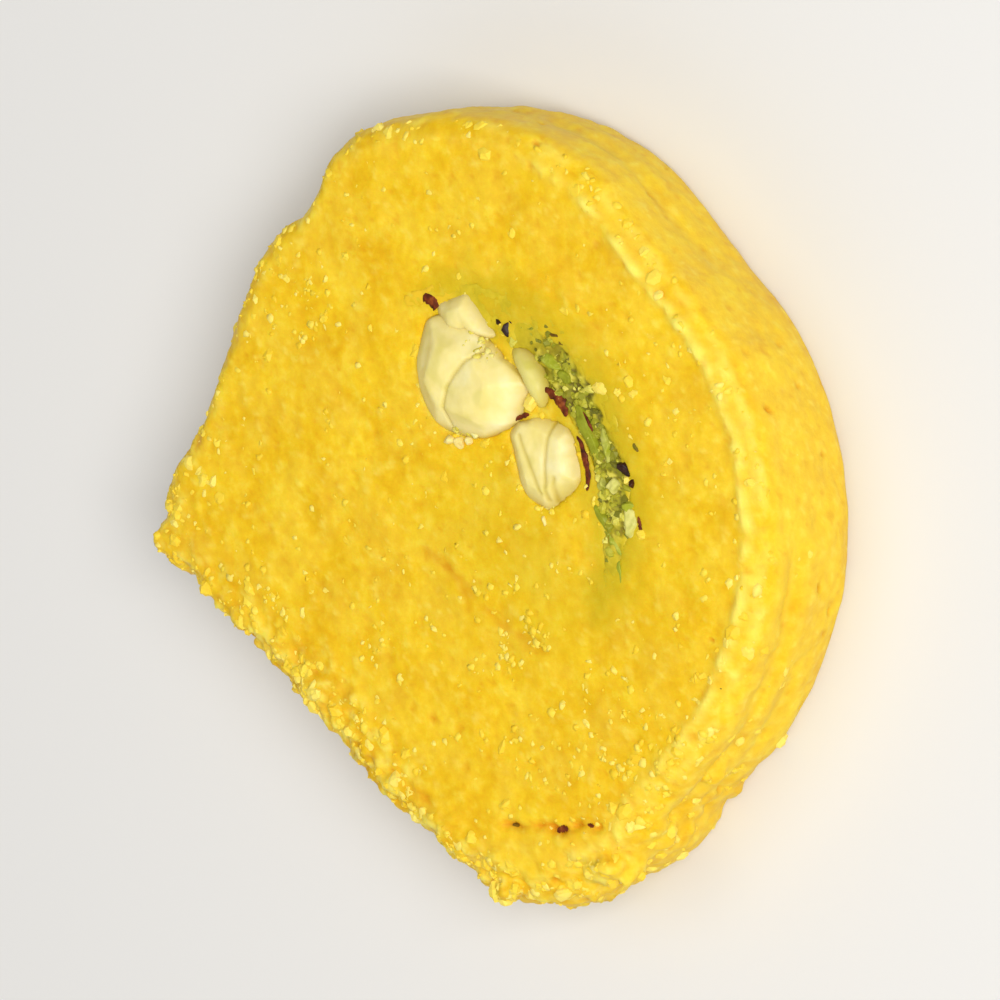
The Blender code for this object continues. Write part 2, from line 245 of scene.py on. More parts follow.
# The roll's form, as in the solids. Directions are degrees from +X.
roll = {
    "radius": 28.6 * mm,
    "frontEdge": 1.5 * mm,
    "backEdge": 0.9 * mm,
    "bulge": 0.45 * mm,
    "flats": ((131.0, 20.4 * mm), (57.0, 23.8 * mm)),
    "cornerSharpness": 12.0,
    "swells": (  # direction, half width, rise
        (80.0, 7.0, 1.6 * mm),
        (100.0, 6.0, 0.9 * mm),
        (188.0, 9.0, 1.4 * mm),
        (203.0, 5.0, 1.0 * mm),
        (214.0, 8.0, -0.5 * mm),
        (254.0, 18.0, 0.6 * mm),
        (305.0, 15.0, -1.5 * mm),
        (344.0, 13.0, 0.2 * mm),
        (22.0, 8.0, -2.0 * mm),
    ),
    "tornLip": (89.7, 3.4, 3.5 * mm),
    "lipDepth": 3.5 * mm,
    "brokenCorner": (188.0, 15.0, 2.6 * mm),
    "brokenInset": 0.6,
    "crumblyAt": 140.0,
    "crumblySpread": 62.0,
    "cragHeight": 0.85 * mm,
    "cragSize": 2.6 * mm,
    "smoothShare": 0.22,
    "faceRelief": 0.12 * mm,
    "faceReliefSize": 5.0 * mm,
    "roughFaceFrom": 0.75,
    "roughFaceShare": 0.5,
    "creases": (  # height, depth, first and last direction
        (7.4 * mm, 0.5 * mm, 196.0, 262.0),
        (4.6 * mm, 0.45 * mm, 205.0, 244.0),
        (5.6 * mm, 0.35 * mm, 300.0, 352.0),
    ),
    "creaseHalfWidth": 0.9 * mm,
    "creaseFade": 9.0,
    "segments": 420,
    "faceRings": 56,
    "edgeRings": 8,
    "sideRings": 24,
    "backEdgeRings": 5,
    "backRings": 30,
}


def heading(angle):
    return Vector((math.cos(math.radians(angle)), math.sin(math.radians(angle)), 0.0))


def bell(angle, direction, halfWidth):
    apart = (angle - direction + 180.0) % 360.0 - 180.0
    return math.exp(-((apart / halfWidth) ** 2))


def bump(angle, settings):
    direction, halfWidth, rise = settings
    return rise * bell(angle, direction, halfWidth)


def outline(angle):
    total = roll["radius"] ** -roll["cornerSharpness"]
    for direction, distance in roll["flats"]:
        facing = math.cos(math.radians(angle - direction))
        if facing > 0.0:
            total += (facing / distance) ** roll["cornerSharpness"]
    return total ** (-1.0 / roll["cornerSharpness"]) + sum(bump(angle, s) for s in roll["swells"])


def creaseDepth(angle, height):
    depth = 0.0
    for level, deepest, first, last in roll["creases"]:
        along = min(angle - first, last - angle) / roll["creaseFade"]
        across = math.exp(-(((height - level) / roll["creaseHalfWidth"]) ** 2))
        depth += deepest * max(0.0, min(1.0, along)) * across
    return depth


# Distance from the roll's axis and height of a ring, before the crags.
def profile(part, share, angle):
    reach = outline(angle)
    broken = bump(angle, roll["brokenCorner"])
    inset = roll["frontEdge"] + roll["brokenInset"] * broken
    drop = roll["frontEdge"] + broken
    turn = math.radians(90.0 * share)
    if part == "face":
        return (reach + bump(angle, roll["tornLip"]) - inset) * share, thickness
    if part == "backEdge":
        edge = roll["backEdge"]
        return reach - edge * (1.0 - math.cos(turn)), edge * (1.0 - math.sin(turn))
    if part == "back":
        return (reach - roll["backEdge"]) * share, 0.0
    if part == "edge":
        radius = reach - inset * (1.0 - math.sin(turn))
        height = thickness - drop * (1.0 - math.cos(turn))
    else:
        top = thickness - drop
        radius = reach
        height = top + (roll["backEdge"] - top) * share
    lip = bump(angle, roll["tornLip"]) * max(0.0, 1.0 - (thickness - height) / roll["lipDepth"])
    bulge = roll["bulge"] * math.sin(math.pi * height / thickness)
    return radius + lip + bulge - creaseDepth(angle, height), height


def crag(point, size):
    return noise.fractal(Vector(point) / size, 0.9, 2.1, 3)


# A point on a ball of radius 1, from its pole and round it.
def onBall(polar, around):
    return Vector((math.sin(polar) * math.cos(around), math.sin(polar) * math.sin(around), math.cos(polar)))


def discPoint(part, share, angle):
    radius, height = profile(part, share, angle)
    outward = heading(angle)
    point = outward * radius + Vector((0.0, 0.0, height))
    smooth = 1.0 - bell(angle, roll["crumblyAt"], roll["crumblySpread"])
    rough = roll["cragHeight"] * (1.0 + (roll["smoothShare"] - 1.0) * smooth)
    rough *= crag(point, roll["cragSize"])
    if part == "face":
        nearRim = max(0.0, share - roll["roughFaceFrom"]) / (1.0 - roll["roughFaceFrom"])
        point.z += roll["faceRelief"] * crag(point, roll["faceReliefSize"])
        point.z += roll["roughFaceShare"] * rough * nearRim**2
    elif part in ("edge", "side"):
        point += outward * rough
    elif part == "backEdge":
        point += outward * rough * height / roll["backEdge"]
    return point


def makeDisc():
    stations = [("face", i / roll["faceRings"]) for i in range(roll["faceRings"] + 1)]
    stations += [("edge", (i + 1) / roll["edgeRings"]) for i in range(roll["edgeRings"])]
    stations += [("side", (i + 1) / roll["sideRings"]) for i in range(roll["sideRings"] - 1)]
    stations += [("backEdge", i / roll["backEdgeRings"]) for i in range(roll["backEdgeRings"] + 1)]
    stations += [("back", 1.0 - (i + 1) / roll["backRings"]) for i in range(roll["backRings"])]
    segments = roll["segments"]
    disc = ringShape(
        "patisa_sweet",
        len(stations) - 1,
        segments,
        lambda ring, s: discPoint(*stations[ring], 360.0 * s / segments),
    )
    return outwards(disc)


# The band of chopped pistachio, as in the solids.
filling = {
    "centre": (1.0 * mm, 0.0),
    "start": 4.0,
    "end": -123.0,
    "startRadius": 14.4 * mm,
    "endRadius": 16.4 * mm,
    "width": 3.7 * mm,
    "tipWidth": 0.9 * mm,
    "widest": 0.55,
    "fullness": 0.8,
    "edgeWave": 0.35 * mm,
    "inwardSwell": (0.45, 0.16, 0.8 * mm),  # share of its length, half width of the swell and its rise
    "waveLength": 2.0 * mm,
    "raggedSize": 0.9 * mm,
    "leastHalfWidth": 0.12 * mm,
    "lengthSteps": 150,
    "widthSteps": 14,
    "voxel": 0.2 * mm,
    "grainSize": 0.62 * mm,  # chopped pistachio pressed into the sweet
    "grainHeight": 0.3 * mm,
    "grainSteps": 0.3 * mm,  # how much some grains stand above others
    "outerMargin": 1.25 * mm,  # strips along its edges where it is only stained sweet
    "innerMargin": 0.1 * mm,
    "fineSize": 0.35 * mm,
    "fineHeight": 0.06 * mm,
    "pasteUntil": 0.44,  # share of its length where the chopped nuts start to show
    "fadeFrom": 0.86,  # and where they run out into the sweet again
}


def bandPoint(along, across):
    angle = filling["start"] + (filling["end"] - filling["start"]) * along
    radius = filling["startRadius"] + (filling["endRadius"] - filling["startRadius"]) * along + across
    return Vector((*filling["centre"], 0.0)) + heading(angle) * radius


def bandEdge(along, side):
    shift = math.log(0.5) / math.log(filling["widest"])
    full = math.sin(math.pi * min(1.0, max(0.0, along)) ** shift) ** filling["fullness"]
    half = (filling["tipWidth"] + (filling["width"] - filling["tipWidth"]) * full) / 2.0
    wave = noise.noise(bandPoint(along, side * half) / filling["waveLength"])
    at, reach, rise = filling["inwardSwell"]
    swell = rise * math.exp(-(((along - at) / reach) ** 2)) if side < 0 else 0.0
    return side * half + filling["edgeWave"] * wave - swell


# The margin on the outer side, narrower towards the band's end.
def outerMarginAt(along):
    return filling["outerMargin"] * min(1.0, max(0.25, (0.85 - along) / 0.2))


# The band as a closed solid from bottom to top, or only the stretch between two shares of its length,
# drawn in from its edges by the margins and closed at both ends.
def makeBand(name, top, bottom, relief, first=0.0, last=1.0, drawnIn=False):
    lengthSteps, widthSteps = filling["lengthSteps"], filling["widthSteps"]
    upper = []
    for i in range(lengthSteps + 1):
        share = i / lengthSteps
        along = first + (last - first) * share
        outer, inner = bandEdge(along, 1), bandEdge(along, -1)
        if drawnIn:
            ragged = filling["edgeWave"] * noise.noise(bandPoint(along, 0.0) / filling["raggedSize"])
            outer, inner = outer - outerMarginAt(along), inner + filling["innerMargin"]
            middle, wide = (outer + inner) / 2 + ragged, min(1.0, 5.0 * share, 5.0 * (1.0 - share)) ** 0.5
            halfWide = max(filling["leastHalfWidth"], (outer - inner) / 2 * wide)
            outer, inner = middle + halfWide, middle - halfWide
        for j in range(widthSteps + 1):
            point = bandPoint(along, inner + (outer - inner) * j / widthSteps)
            point.z = top
            point.z += relief * crag(point, roll["faceReliefSize"])
            upper.append(point)
    lower = [Vector((p.x, p.y, bottom)) for p in upper]
    count, row = len(upper), widthSteps + 1
    faces = []
    for i in range(lengthSteps):
        for j in range(widthSteps):
            a = i * row + j
            faces.append((a, a + 1, a + row + 1, a + row))
            faces.append((count + a, count + a + row, count + a + row + 1, count + a + 1))
    rim = [i * row for i in range(lengthSteps + 1)]
    rim += [lengthSteps * row + j for j in range(1, row)]
    rim += [i * row + widthSteps for i in range(lengthSteps - 1, -1, -1)]
    rim += [j for j in range(widthSteps - 1, 0, -1)]
    for a, b in zip(rim, rim[1:] + rim[:1]):
        faces.append((a, b, count + b, count + a))
    return outwards(newObject(name, upper + lower, faces))


# How far each point is from the band's middle line, and how far along the band it lies.
def bandPlace(points):
    away = points[:, :2] - np.array(filling["centre"])
    angle = np.degrees(np.arctan2(away[:, 1], away[:, 0]))
    span = filling["end"] - filling["start"]
    along = (angle - filling["start"]) / span
    along = np.where(angle > 90.0 + filling["start"], (angle - 360.0 - filling["start"]) / span, along)
    radius = filling["startRadius"] + (filling["endRadius"] - filling["startRadius"]) * np.clip(along, 0, 1)
    across = np.linalg.norm(away, axis=1) - radius
    return along, across


# Pieces of pistachio that stand out of the band: place, length and width, turn, rise above the face and
# tone, from 0 for a dark skin through 0.5 for olive to 1 for pale green.
kernels = {
    "green": (
        ((12.9, -7.5), (1.0, 0.7), 60.0, 0.3, 0.0),
        ((12.2, -8.2), (1.4, 1.1), -20.0, 0.38, 0.0),
        ((12.6, -8.6), (0.6, 0.4), 10.0, 0.18, 0.05),
        ((14.0, -6.9), (2.0, 0.9), 62.0, 0.05, 0.62),
        ((11.9, -11.8), (0.9, 0.7), -20.0, 0.3, 0.42),
        ((11.2, -12.5), (0.8, 0.5), 40.0, 0.3, 0.3),
        ((10.6, -12.9), (0.9, 0.6), 20.0, 0.3, 0.36),
        ((9.4, -11.7), (2.0, 1.1), 40.0, 0.35, 0.72),
        ((8.1, -12.8), (1.4, 0.9), 60.0, 0.35, 0.58),
        ((4.1, -14.2), (4.6, 1.15), 17.0, 0.42, 0.6),
        ((2.7, -15.7), (2.4, 1.1), 5.0, 0.45, 0.8),
        ((0.9, -16.9), (1.8, 0.9), 40.0, 0.4, 0.02),
        ((-0.2, -17.5), (0.8, 0.4), 0.0, 0.2, 0.1),
        ((2.3, -18.4), (1.0, 0.7), 50.0, 0.05, 0.38),
        ((-0.3, -15.9), (1.5, 1.1), -60.0, 0.5, 0.95),
        ((0.0, -14.8), (1.2, 0.9), 10.0, 0.4, 0.85),
        ((-1.8, -16.9), (1.3, 0.9), 40.0, 0.4, 0.7),
        ((-3.1, -16.8), (2.2, 1.4), -15.0, 0.45, 0.96),
        ((-2.4, -14.5), (2.4, 0.8), 25.0, 0.3, 0.62),
        ((-4.4, -15.3), (2.2, 1.0), 8.0, 0.3, 0.75),
        ((-6.6, -15.2), (2.4, 0.6), -8.0, 0.12, 0.68),
        ((-23.9, -2.4), (0.5, 0.3), 60.0, 0.0, 0.34),
        ((-15.6, -22.8), (0.5, 0.4), 0.0, -0.05, 0.3),
    ),
    "cream": (
        ((4.8, -1.5), (1.2, 0.8), 70.0, 0.45, 0.5),
        ((4.5, -2.4), (1.1, 0.8), 20.0, 0.4, 0.3),
        ((4.5, -3.3), (0.8, 0.6), 50.0, 0.35, 0.6),
        ((-1.9, -9.2), (1.3, 0.4), 5.0, 0.25, 0.5),
        ((-0.5, -9.6), (0.7, 0.5), 40.0, 0.4, 0.4),
    ),
    "depth": 1.1 * mm,
    "squareness": 2.6,
    "lumps": 0.2,
    "lumpSize": 0.7 * mm,
    "facets": 7,
    "facetDepth": 0.72,  # of the distance to the piece's skin
    "segments": 36,
    "rings": 20,
}

# Skins of the nuts: bowed flakes that stand on edge in the filling; the one between the two cashews is a
# dark flake put there as painted shadow. Points along the flake, width, lean and height above the face.
skins = {
    "flakes": (
        (((7.6, -10.7), (6.9, -11.7), (6.1, -12.3), (5.1, -12.6)), 0.8, 0.3),
        (((3.9, -13.2), (2.8, -13.6), (1.7, -13.7), (0.6, -13.8), (-0.5, -13.4)), 0.5, 0.3),
        (((5.7, -13.8), (4.7, -14.4), (3.8, -14.7)), 0.3, 0.28),
        # Painted shadow: a dark flake in the gap between the large and small cashews.
        (((5.5, -7.5), (5.7, -8.5), (6.0, -9.8)), 0.35, 0.24),
        (((15.5, -0.9), (15.2, -1.7), (14.4, -2.1)), 1.4, 0.34),
        (((-4.1, -17.5), (-3.4, -17.8), (-2.6, -17.7)), 0.3, 0.26),
        (((-24.7, -6.3), (-24.5, -6.9), (-24.6, -7.5)), 0.5, 0.24),
        (((-24.4, -9.2), (-24.6, -9.8)), 0.3, 0.22),
    ),
    "thickness": 0.07 * mm,
    "steps": 28,
    "sides": 14,
    "wave": 0.12 * mm,
    "raggedness": 0.7,
}

# Cashew pieces: place from the roll's centre; outline as (direction, distance in mm) pairs round that
# place; height of the top above and depth of the foot below the place; and cuts (direction, tilt from
# upright, distance in mm), which plane the nut down where the knife went. Creases and the valley are
# lines with a depth and a half width in mm, and dusty lines have a reach.
nuts = {
    "cashew_large_nut": {
        "place": (8.85, -4.05, 9.7),
        "outline": (
            (4, 4.35), (22, 5.4), (36, 5.75), (52, 5.0), (76, 4.45), (103, 4.4), (124, 4.2),
            (149, 4.15), (175, 4.0), (205, 4.45), (224, 4.9), (237, 5.5), (251, 6.1), (266, 4.85),
            (289, 3.6), (322, 3.45), (335, 3.6),
        ),
        "top": 3.2,
        "foot": 3.3,
        "cuts": (
            (0, 3, 3.0), (245, 38, 4.1), (60, 34, 3.95), (110, 42, 3.9), (160, 45, 3.7), (300, 40, 3.7),
            (338, 40, 3.6),
        ),
        "creases": (
            (((11.0, -6.4), (10.3, -5.0), (9.5, -3.9), (8.6, -3.1), (7.1, -2.5), (5.8, -2.3)), 0.17, 0.14),
            (((10.2, -7.7), (8.7, -9.0), (7.6, -9.6), (6.5, -9.7)), 0.12, 0.15),
            (((12.2, -6.1), (11.4, -6.5), (10.6, -6.3)), 0.2, 0.16),
        ),
        "valley": (((11.2, -6.1), (10.1, -4.5), (8.8, -3.1), (6.8, -2.4)), 0.16, 0.9),
        "dusty": ((((12.2, -5.3), (11.0, -6.4), (10.2, -7.1)), 1.0), (((5.4, -2.3), (4.8, -3.9)), 0.6)),
    },
    "cashew_small_nut": {
        "place": (2.15, -10.1, 9.6),
        "outline": (
            (20, 3.4), (40, 4.1), (47, 4.6), (65, 3.2), (95, 2.75), (130, 3.05), (156, 3.5),
            (174, 4.9), (196, 3.5), (224, 3.25), (254, 3.15), (274, 3.15), (300, 3.05), (321, 3.2),
            (338, 3.4), (348, 3.3),
        ),
        "top": 2.5,
        "foot": 2.8,
        "cuts": (
            (0, 4, 2.1), (95, 40, 2.75), (150, 38, 2.95), (205, 42, 2.9), (275, 44, 2.8), (335, 40, 2.9),
            (40, 42, 3.5),
        ),
        "creases": (
            (((4.4, -8.4), (2.2, -9.0), (-0.1, -9.7)), 0.1, 0.16),
            (((5.1, -11.4), (3.8, -10.8), (2.0, -10.4), (-0.6, -10.1)), 0.12, 0.16),
            (((0.9, -11.1), (-0.8, -10.7)), 0.12, 0.2),
        ),
        "valley": (((4.1, -10.6), (1.1, -10.4)), 0.12, 1.0),
        "dusty": ((((-1.1, -9.8), (-1.4, -11.0)), 0.7),),
    },
    "cashew_chip_nut": {
        "place": (13.9, -4.35, 9.9),
        "outline": (
            (42, 2.4), (55, 3.1), (87, 3.3), (111, 1.9), (194, 1.4), (215, 2.6), (233, 3.6),
            (248, 2.6), (301, 1.35), (348, 1.65),
        ),
        "top": 1.8,
        "foot": 2.0,
        "cuts": ((10, 40, 1.55), (100, 35, 2.0), (300, 40, 1.6)),
        "creases": (),
        "valley": None,
        "dusty": ((((12.6, -6.5), (12.0, -7.3)), 0.8),),
    },
}
nutSkin = {
    "squareness": 2.9,
    "segments": 120,
    "rings": 60,
    "cornerRounding": 3.5,  # degrees
    "roundingReach": 30,
    "cutHardness": 0.92,
    "gap": -0.08 * mm,
    "swell": 1.05,  # makes up for what the cuts and the even skin take off
    "voxel": 0.14 * mm,
    "waves": 0.10 * mm,
    "waveSize": 2.4 * mm,
    "fine": 0.018 * mm,
    "fineSize": 0.5 * mm,
}
sliver = {
    "centre": (6.75 * mm, -5.5 * mm),
    "radius": 4.85 * mm,
    "start": -31.0,
    "end": -104.0,
    "halfWidth": 1.08 * mm,
    "halfHeight": 2.0 * mm,
    "middle": 9.8 * mm,
    "rings": 60,
    "segments": 32,
}


def nutOutline(pairs):
    angles = np.arange(360.0)
    plain = np.interp(angles, [a for a, r in pairs], [r for a, r in pairs], period=360.0)
    reach = nutSkin["roundingReach"]
    window = np.exp(-((np.arange(-reach, reach + 1) / nutSkin["cornerRounding"]) ** 2))
    window /= window.sum()
    return np.convolve(np.concatenate((plain[-reach:], plain, plain[:reach])), window, "valid")


def makeNut(name, settings):
    radii = nutOutline(settings["outline"])
    rings, segments, power = nutSkin["rings"], nutSkin["segments"], nutSkin["squareness"]

    def pointAt(ring, s):
        turn = math.pi * ring / rings
        across, up = math.sin(turn), math.cos(turn)
        size = (across**power + abs(up) ** power) ** (1.0 / power)
        angle = 360.0 * s / segments
        reach = np.interp(angle, np.arange(361), np.append(radii, radii[0]))
        rise = settings["top"] if up > 0 else settings["foot"]
        reach *= nutSkin["swell"]
        return (heading(angle) * (reach * across / size) + Vector((0, 0, rise * up / size))) * mm

    obj = outwards(ringShape(name, rings, segments, pointAt))
    points = pointsOf(obj)
    for direction, tilt, distance in settings["cuts"]:
        lean = math.radians(tilt)
        facing = np.array(heading(direction) * math.sin(lean) + Vector((0, 0, math.cos(lean))))
        beyond = np.maximum(points @ facing - distance * mm, 0.0)
        points -= nutSkin["cutHardness"] * beyond[:, None] * facing
    movePoints(obj, points + np.array(settings["place"]) * mm)
    return obj


def makeSliver(name):
    rings, segments = sliver["rings"], sliver["segments"]

    def pointAt(ring, s):
        turn = math.pi * ring / rings
        angle = sliver["start"] + (sliver["end"] - sliver["start"]) * (1.0 - math.cos(turn)) / 2.0
        side = 2.0 * math.pi * s / segments
        out = sliver["radius"] + math.sin(turn) * math.cos(side) * sliver["halfWidth"]
        height = sliver["middle"] + math.sin(turn) * math.sin(side) * sliver["halfHeight"]
        return Vector((*sliver["centre"], height)) + heading(angle) * out

    return outwards(ringShape(name, rings, segments, pointAt))


# Shapes that cut room for the nuts, a little smaller than the nuts so that nothing gapes.
def nutCutters(names, withSliver=False):
    made = [makeNut("cutter", nuts[name]) for name in names]
    if withSliver:
        made.append(makeSliver("cutter"))
    return [grown(obj, nutSkin["gap"]) for obj in made]


# Materials. Soft is what their cloudy patterns share: places on the piece and how rough the pattern is.
def startMaterial(name):
    material = bpy.data.materials.new(name)
    material.use_nodes = True
    tree = material.node_tree
    tree.nodes.clear()
    soft = {"Vector": addNode(tree, "ShaderNodeTexCoord").outputs["Object"], "Detail": 3.0, "Roughness": 0.6}
    return material, tree, soft


# Lays colours over one another, each as strongly as one of the piece's own values says.
def layered(tree, source, layers):
    for value, over in layers:
        amount = addNode(tree, "ShaderNodeAttribute", attribute_name=value).outputs["Fac"]
        inputs = {"Factor": amount, "A": source, "B": hexColour(over) if isinstance(over, str) else over}
        source = addNode(tree, "ShaderNodeMix", inputs, data_type="RGBA").outputs["Result"]
    return source


# Scatter is how much light enters, how far by colour, and the depth that stands for. Dents are their
# height, strength and depth.
def endMaterial(material, colour, roughness, ior, specular, scatter=(), dents=()):
    tree = material.node_tree
    inputs = {"Base Color": colour, "Roughness": roughness, "IOR": ior, "Specular IOR Level": specular}
    inputs.update(zip(("Subsurface Weight", "Subsurface Radius", "Subsurface Scale"), scatter))
    if dents:
        height, strength, depth = dents
        bumpy = {"Height": height, "Strength": strength, "Distance": depth}
        inputs["Normal"] = addNode(tree, "ShaderNodeBump", bumpy)
    addNode(tree, "ShaderNodeOutputMaterial", {"Surface": addNode(tree, "ShaderNodeBsdfPrincipled", inputs)})
    return material


# Khoya and sugar cooked thick with saffron colour, pressed, rolled and knife cut: a soft, dense body
# that light enters a little, mottled where it is drier or more buttery, with an even low sheen.
def makeSweetMaterial():
    material, tree, soft = startMaterial("khoyaSweetKnifeCut")
    patches = addNode(tree, "ShaderNodeTexNoise", {**soft, "Scale": 1.0 / (3.2 * mm)})
    grains = addNode(tree, "ShaderNodeTexNoise", {**soft, "Scale": 1.0 / (0.9 * mm)})
    fine = addNode(tree, "ShaderNodeTexNoise", {**soft, "Scale": 1.0 / (0.24 * mm), "Detail": 2.0})
    stops = ((0.3, "#e7b30c"), (0.5, "#f1c415"), (0.7, "#fad426"))
    base = addNode(tree, "ShaderNodeValToRGB", {"Fac": patches}, stops=stops)
    stops = ((0.34, "#e4aa06"), (0.53, "#f4c81a"), (0.7, "#fde24c"))
    mottle = addNode(tree, "ShaderNodeValToRGB", {"Fac": grains}, stops=stops)
    mixed = addNode(tree, "ShaderNodeMix", {"Factor": 0.34, "A": base, "B": mottle}, data_type="RGBA")
    # Painted highlight: paler yellow on raised grain, torn lumps, sides, the ridge and the lip, where light
    # would fall.
    layers = (("painted_highlight", "#ffea66"), ("painted_hollow_shade", "#dd8f06"), ("tinted", "#c9b014"))
    # Painted shade: darker orange in the pits, the low parts of the grain, the seam, the crack and between
    # the torn lumps.
    colour = layered(tree, mixed.outputs["Result"], layers)
    spread = {"From Min": 0.3, "From Max": 0.7, "To Min": 0.4, "To Max": 0.58}
    gloss = addNode(tree, "ShaderNodeMapRange", {"Value": patches, **spread})
    scatter = (0.25, (1.0, 0.55, 0.12), 1.0 * mm)
    return endMaterial(material, colour, gloss, 1.46, 0.22, scatter, (fine, 0.5, 0.06 * mm))


# Chopped pistachio pressed into the sweet: oily green granules with painted shade, dark olive, in the
# crevices between them, which run out into green-stained sweet at the band's ends.
def makeFillingMaterial():
    material, tree, soft = startMaterial("choppedPistachioPressed")
    tone = addNode(tree, "ShaderNodeAttribute", attribute_name="tone").outputs["Fac"]
    clouds = addNode(tree, "ShaderNodeTexNoise", {**soft, "Scale": 1.0 / (1.3 * mm)})
    stops = ((0.0, "#4a3408"), (0.1, "#766c10"), (0.42, "#9c961a"), (0.8, "#beb22a"), (1.0, "#e0d252"))
    green = addNode(tree, "ShaderNodeValToRGB", {"Fac": tone}, stops=stops)
    # The sweet's own green stain, in clouds.
    stops = ((0.3, "#c4ac0c"), (0.5, "#d0b814"), (0.72, "#e2c622"))
    stain_and_painted_shade = addNode(tree, "ShaderNodeValToRGB", {"Fac": clouds}, stops=stops)
    colour = layered(tree, green, (("painted_crevice_shade", "#5c5008"), ("paste", stain_and_painted_shade), ("plain", "#f1c51f")))
    scatter = (0.15, (0.7, 0.8, 0.15), 0.6 * mm)
    return endMaterial(material, colour, 0.48, 1.47, 0.4, scatter, (clouds, 0.4, 0.06 * mm))


# Pistachio kernels cut across: translucent green flesh, an oily gleam, darker where skin is left.
def makeKernelMaterial():
    material, tree, soft = startMaterial("pistachioKernelCut")
    tone = addNode(tree, "ShaderNodeAttribute", attribute_name="tone").outputs["Fac"]
    flesh = addNode(tree, "ShaderNodeTexNoise", {**soft, "Scale": 1.0 / (0.8 * mm), "Roughness": 0.65})
    varied = addNode(tree, "ShaderNodeMath", {0: flesh, 1: 0.45, 2: -0.22}, operation="MULTIPLY_ADD")
    total = addNode(tree, "ShaderNodeMath", {0: tone, 1: varied}, operation="ADD", use_clamp=True)
    stops = ((0.0, "#2a1408"), (0.14, "#4a2410"), (0.32, "#75591a"))
    stops += ((0.52, "#8a8c16"), (0.74, "#a7ae2c"), (1.0, "#e4dc7c"))
    colour = addNode(tree, "ShaderNodeValToRGB", {"Fac": total}, stops=stops)
    scatter = (0.06, (0.7, 0.9, 0.2), 0.6 * mm)
    return endMaterial(material, colour, 0.42, 1.47, 0.25, scatter, (flesh, 0.4, 0.06 * mm))


# The nuts' thin papery skin, soaked with ghee: dark maroon, with a moist gleam on its folds. One flake in it
# is a painted shadow line between the cashews.
def makeSkinMaterial():
    material, tree, soft = startMaterial("nutSkinMoist")
    streaks = addNode(tree, "ShaderNodeTexNoise", {**soft, "Scale": 1.0 / (0.7 * mm)})
    stops = ((0.3, "#381608"), (0.52, "#74300e"), (0.75, "#b06024"))
    colour = addNode(tree, "ShaderNodeValToRGB", {"Fac": streaks}, stops=stops)
    return endMaterial(material, colour, 0.5, 1.47, 0.2)


# Blanched cashew, cut: dense cream flesh with a waxy sheen, a painted highlight that makes its sides paler,
# greener in patches, all over the sliver and as painted shade in its creases, and painted shade darkening
# its foot and creases.
def makeCashewMaterial():
    material, tree, soft = startMaterial("cashewBlanchedCut")
    clouds = addNode(tree, "ShaderNodeTexNoise", {**soft, "Scale": 1.0 / (2.6 * mm), "Roughness": 0.55})
    soft.update({"Detail": 2.0, "Roughness": 0.5})
    fine = addNode(tree, "ShaderNodeTexNoise", {**soft, "Scale": 1.0 / (0.4 * mm)})
    stops = ((0.3, "#eedb80"), (0.52, "#f7e696"), (0.72, "#fdefb2"))
    flesh = addNode(tree, "ShaderNodeValToRGB", {"Fac": clouds}, stops=stops)
    colour = layered(tree, flesh, (("painted_side_highlight", "#fff3bd"), ("green_tone_and_crease_shade", "#d6cb62"), ("stain_and_painted_shade", "#c8ab3a")))
    scatter = (0.3, (0.9, 0.85, 0.4), 0.9 * mm)
    return endMaterial(material, colour, 0.42, 1.46, 0.4, scatter, (fine, 0.15, 0.05 * mm))


# Loose grains: the same stuff where it was torn or chopped, paler because it is dry and scatters more.
def makeCrumbMaterial(name, *stops):
    material, tree = startMaterial(name)[:2]
    tone = addNode(tree, "ShaderNodeAttribute", attribute_name="tone").outputs["Fac"]
    colour = addNode(tree, "ShaderNodeValToRGB", {"Fac": tone}, stops=stops)
    return endMaterial(material, colour, 0.5, 1.46, 0.35, (0.2, (0.8, 0.6, 0.2), 0.4 * mm))


sweetMaterial = makeSweetMaterial()
fillingMaterial = makeFillingMaterial()
kernelMaterial = makeKernelMaterial()
skinMaterial = makeSkinMaterial()
cashewMaterial = makeCashewMaterial()
crumbMaterial = makeCrumbMaterial("khoyaCrumbsTorn", (0.0, "#f5ca24"), (0.5, "#fad940"), (1.0, "#fee46c"))
stops = ((0.0, "#6e6a16"), (0.4, "#9c9a22"), (0.8, "#c4bc34"), (1.0, "#e8dc66"))
grainMaterial = makeCrumbMaterial("pistachioCrumbs", *stops)
bitMaterial = makeCrumbMaterial("cashewBitsCut", (0.0, "#ecd070"), (0.5, "#f6e08c"), (1.0, "#fcecb0"))
dustMaterial = makeCrumbMaterial("nutDustStained", (0.0, "#d8c43c"), (0.5, "#ecdc66"), (1.0, "#f8ec9c"))
print("materials made")

# Scattered grains. Density is how many lie on a square metre where a surface's value is 1, sizes are half
# widths, and sink is the share of a grain's half width that is pressed in.
crumbs = {
    "sweet": {"density": 5.2e6, "smallest": 0.14 * mm, "largest": 0.5 * mm, "sink": 0.55, "seed": 4},
    "torn": {"density": 2.2e6, "smallest": 0.16 * mm, "largest": 0.85 * mm, "sink": 0.6, "seed": 6},
    "pistachio": {"density": 7.0e6, "smallest": 0.12 * mm, "largest": 0.55 * mm, "sink": 0.5, "seed": 9},
    "dust": {"density": 5.0e6, "smallest": 0.07 * mm, "largest": 0.34 * mm, "sink": 0.2, "seed": 3},
    "lumpSize": 0.38 * mm,
    "lumpiness": 1.4,
    "segments": 8,
    "rings": 5,
    "fewerLarge": 1.8,  # power that makes large grains rarer
    "toneSeed": 77,
}
grainSockets = (
    ("Surface", "Geometry"),
    ("Where", "String"),
    ("Grains per square metre", "Float"),
    ("Smallest half width", "Float"),
    ("Largest half width", "Float"),
    ("Sink", "Float"),
    ("Seed", "Int"),
    ("Segments", "Int"),
    ("Rings", "Int"),
    ("Material", "Material"),
)


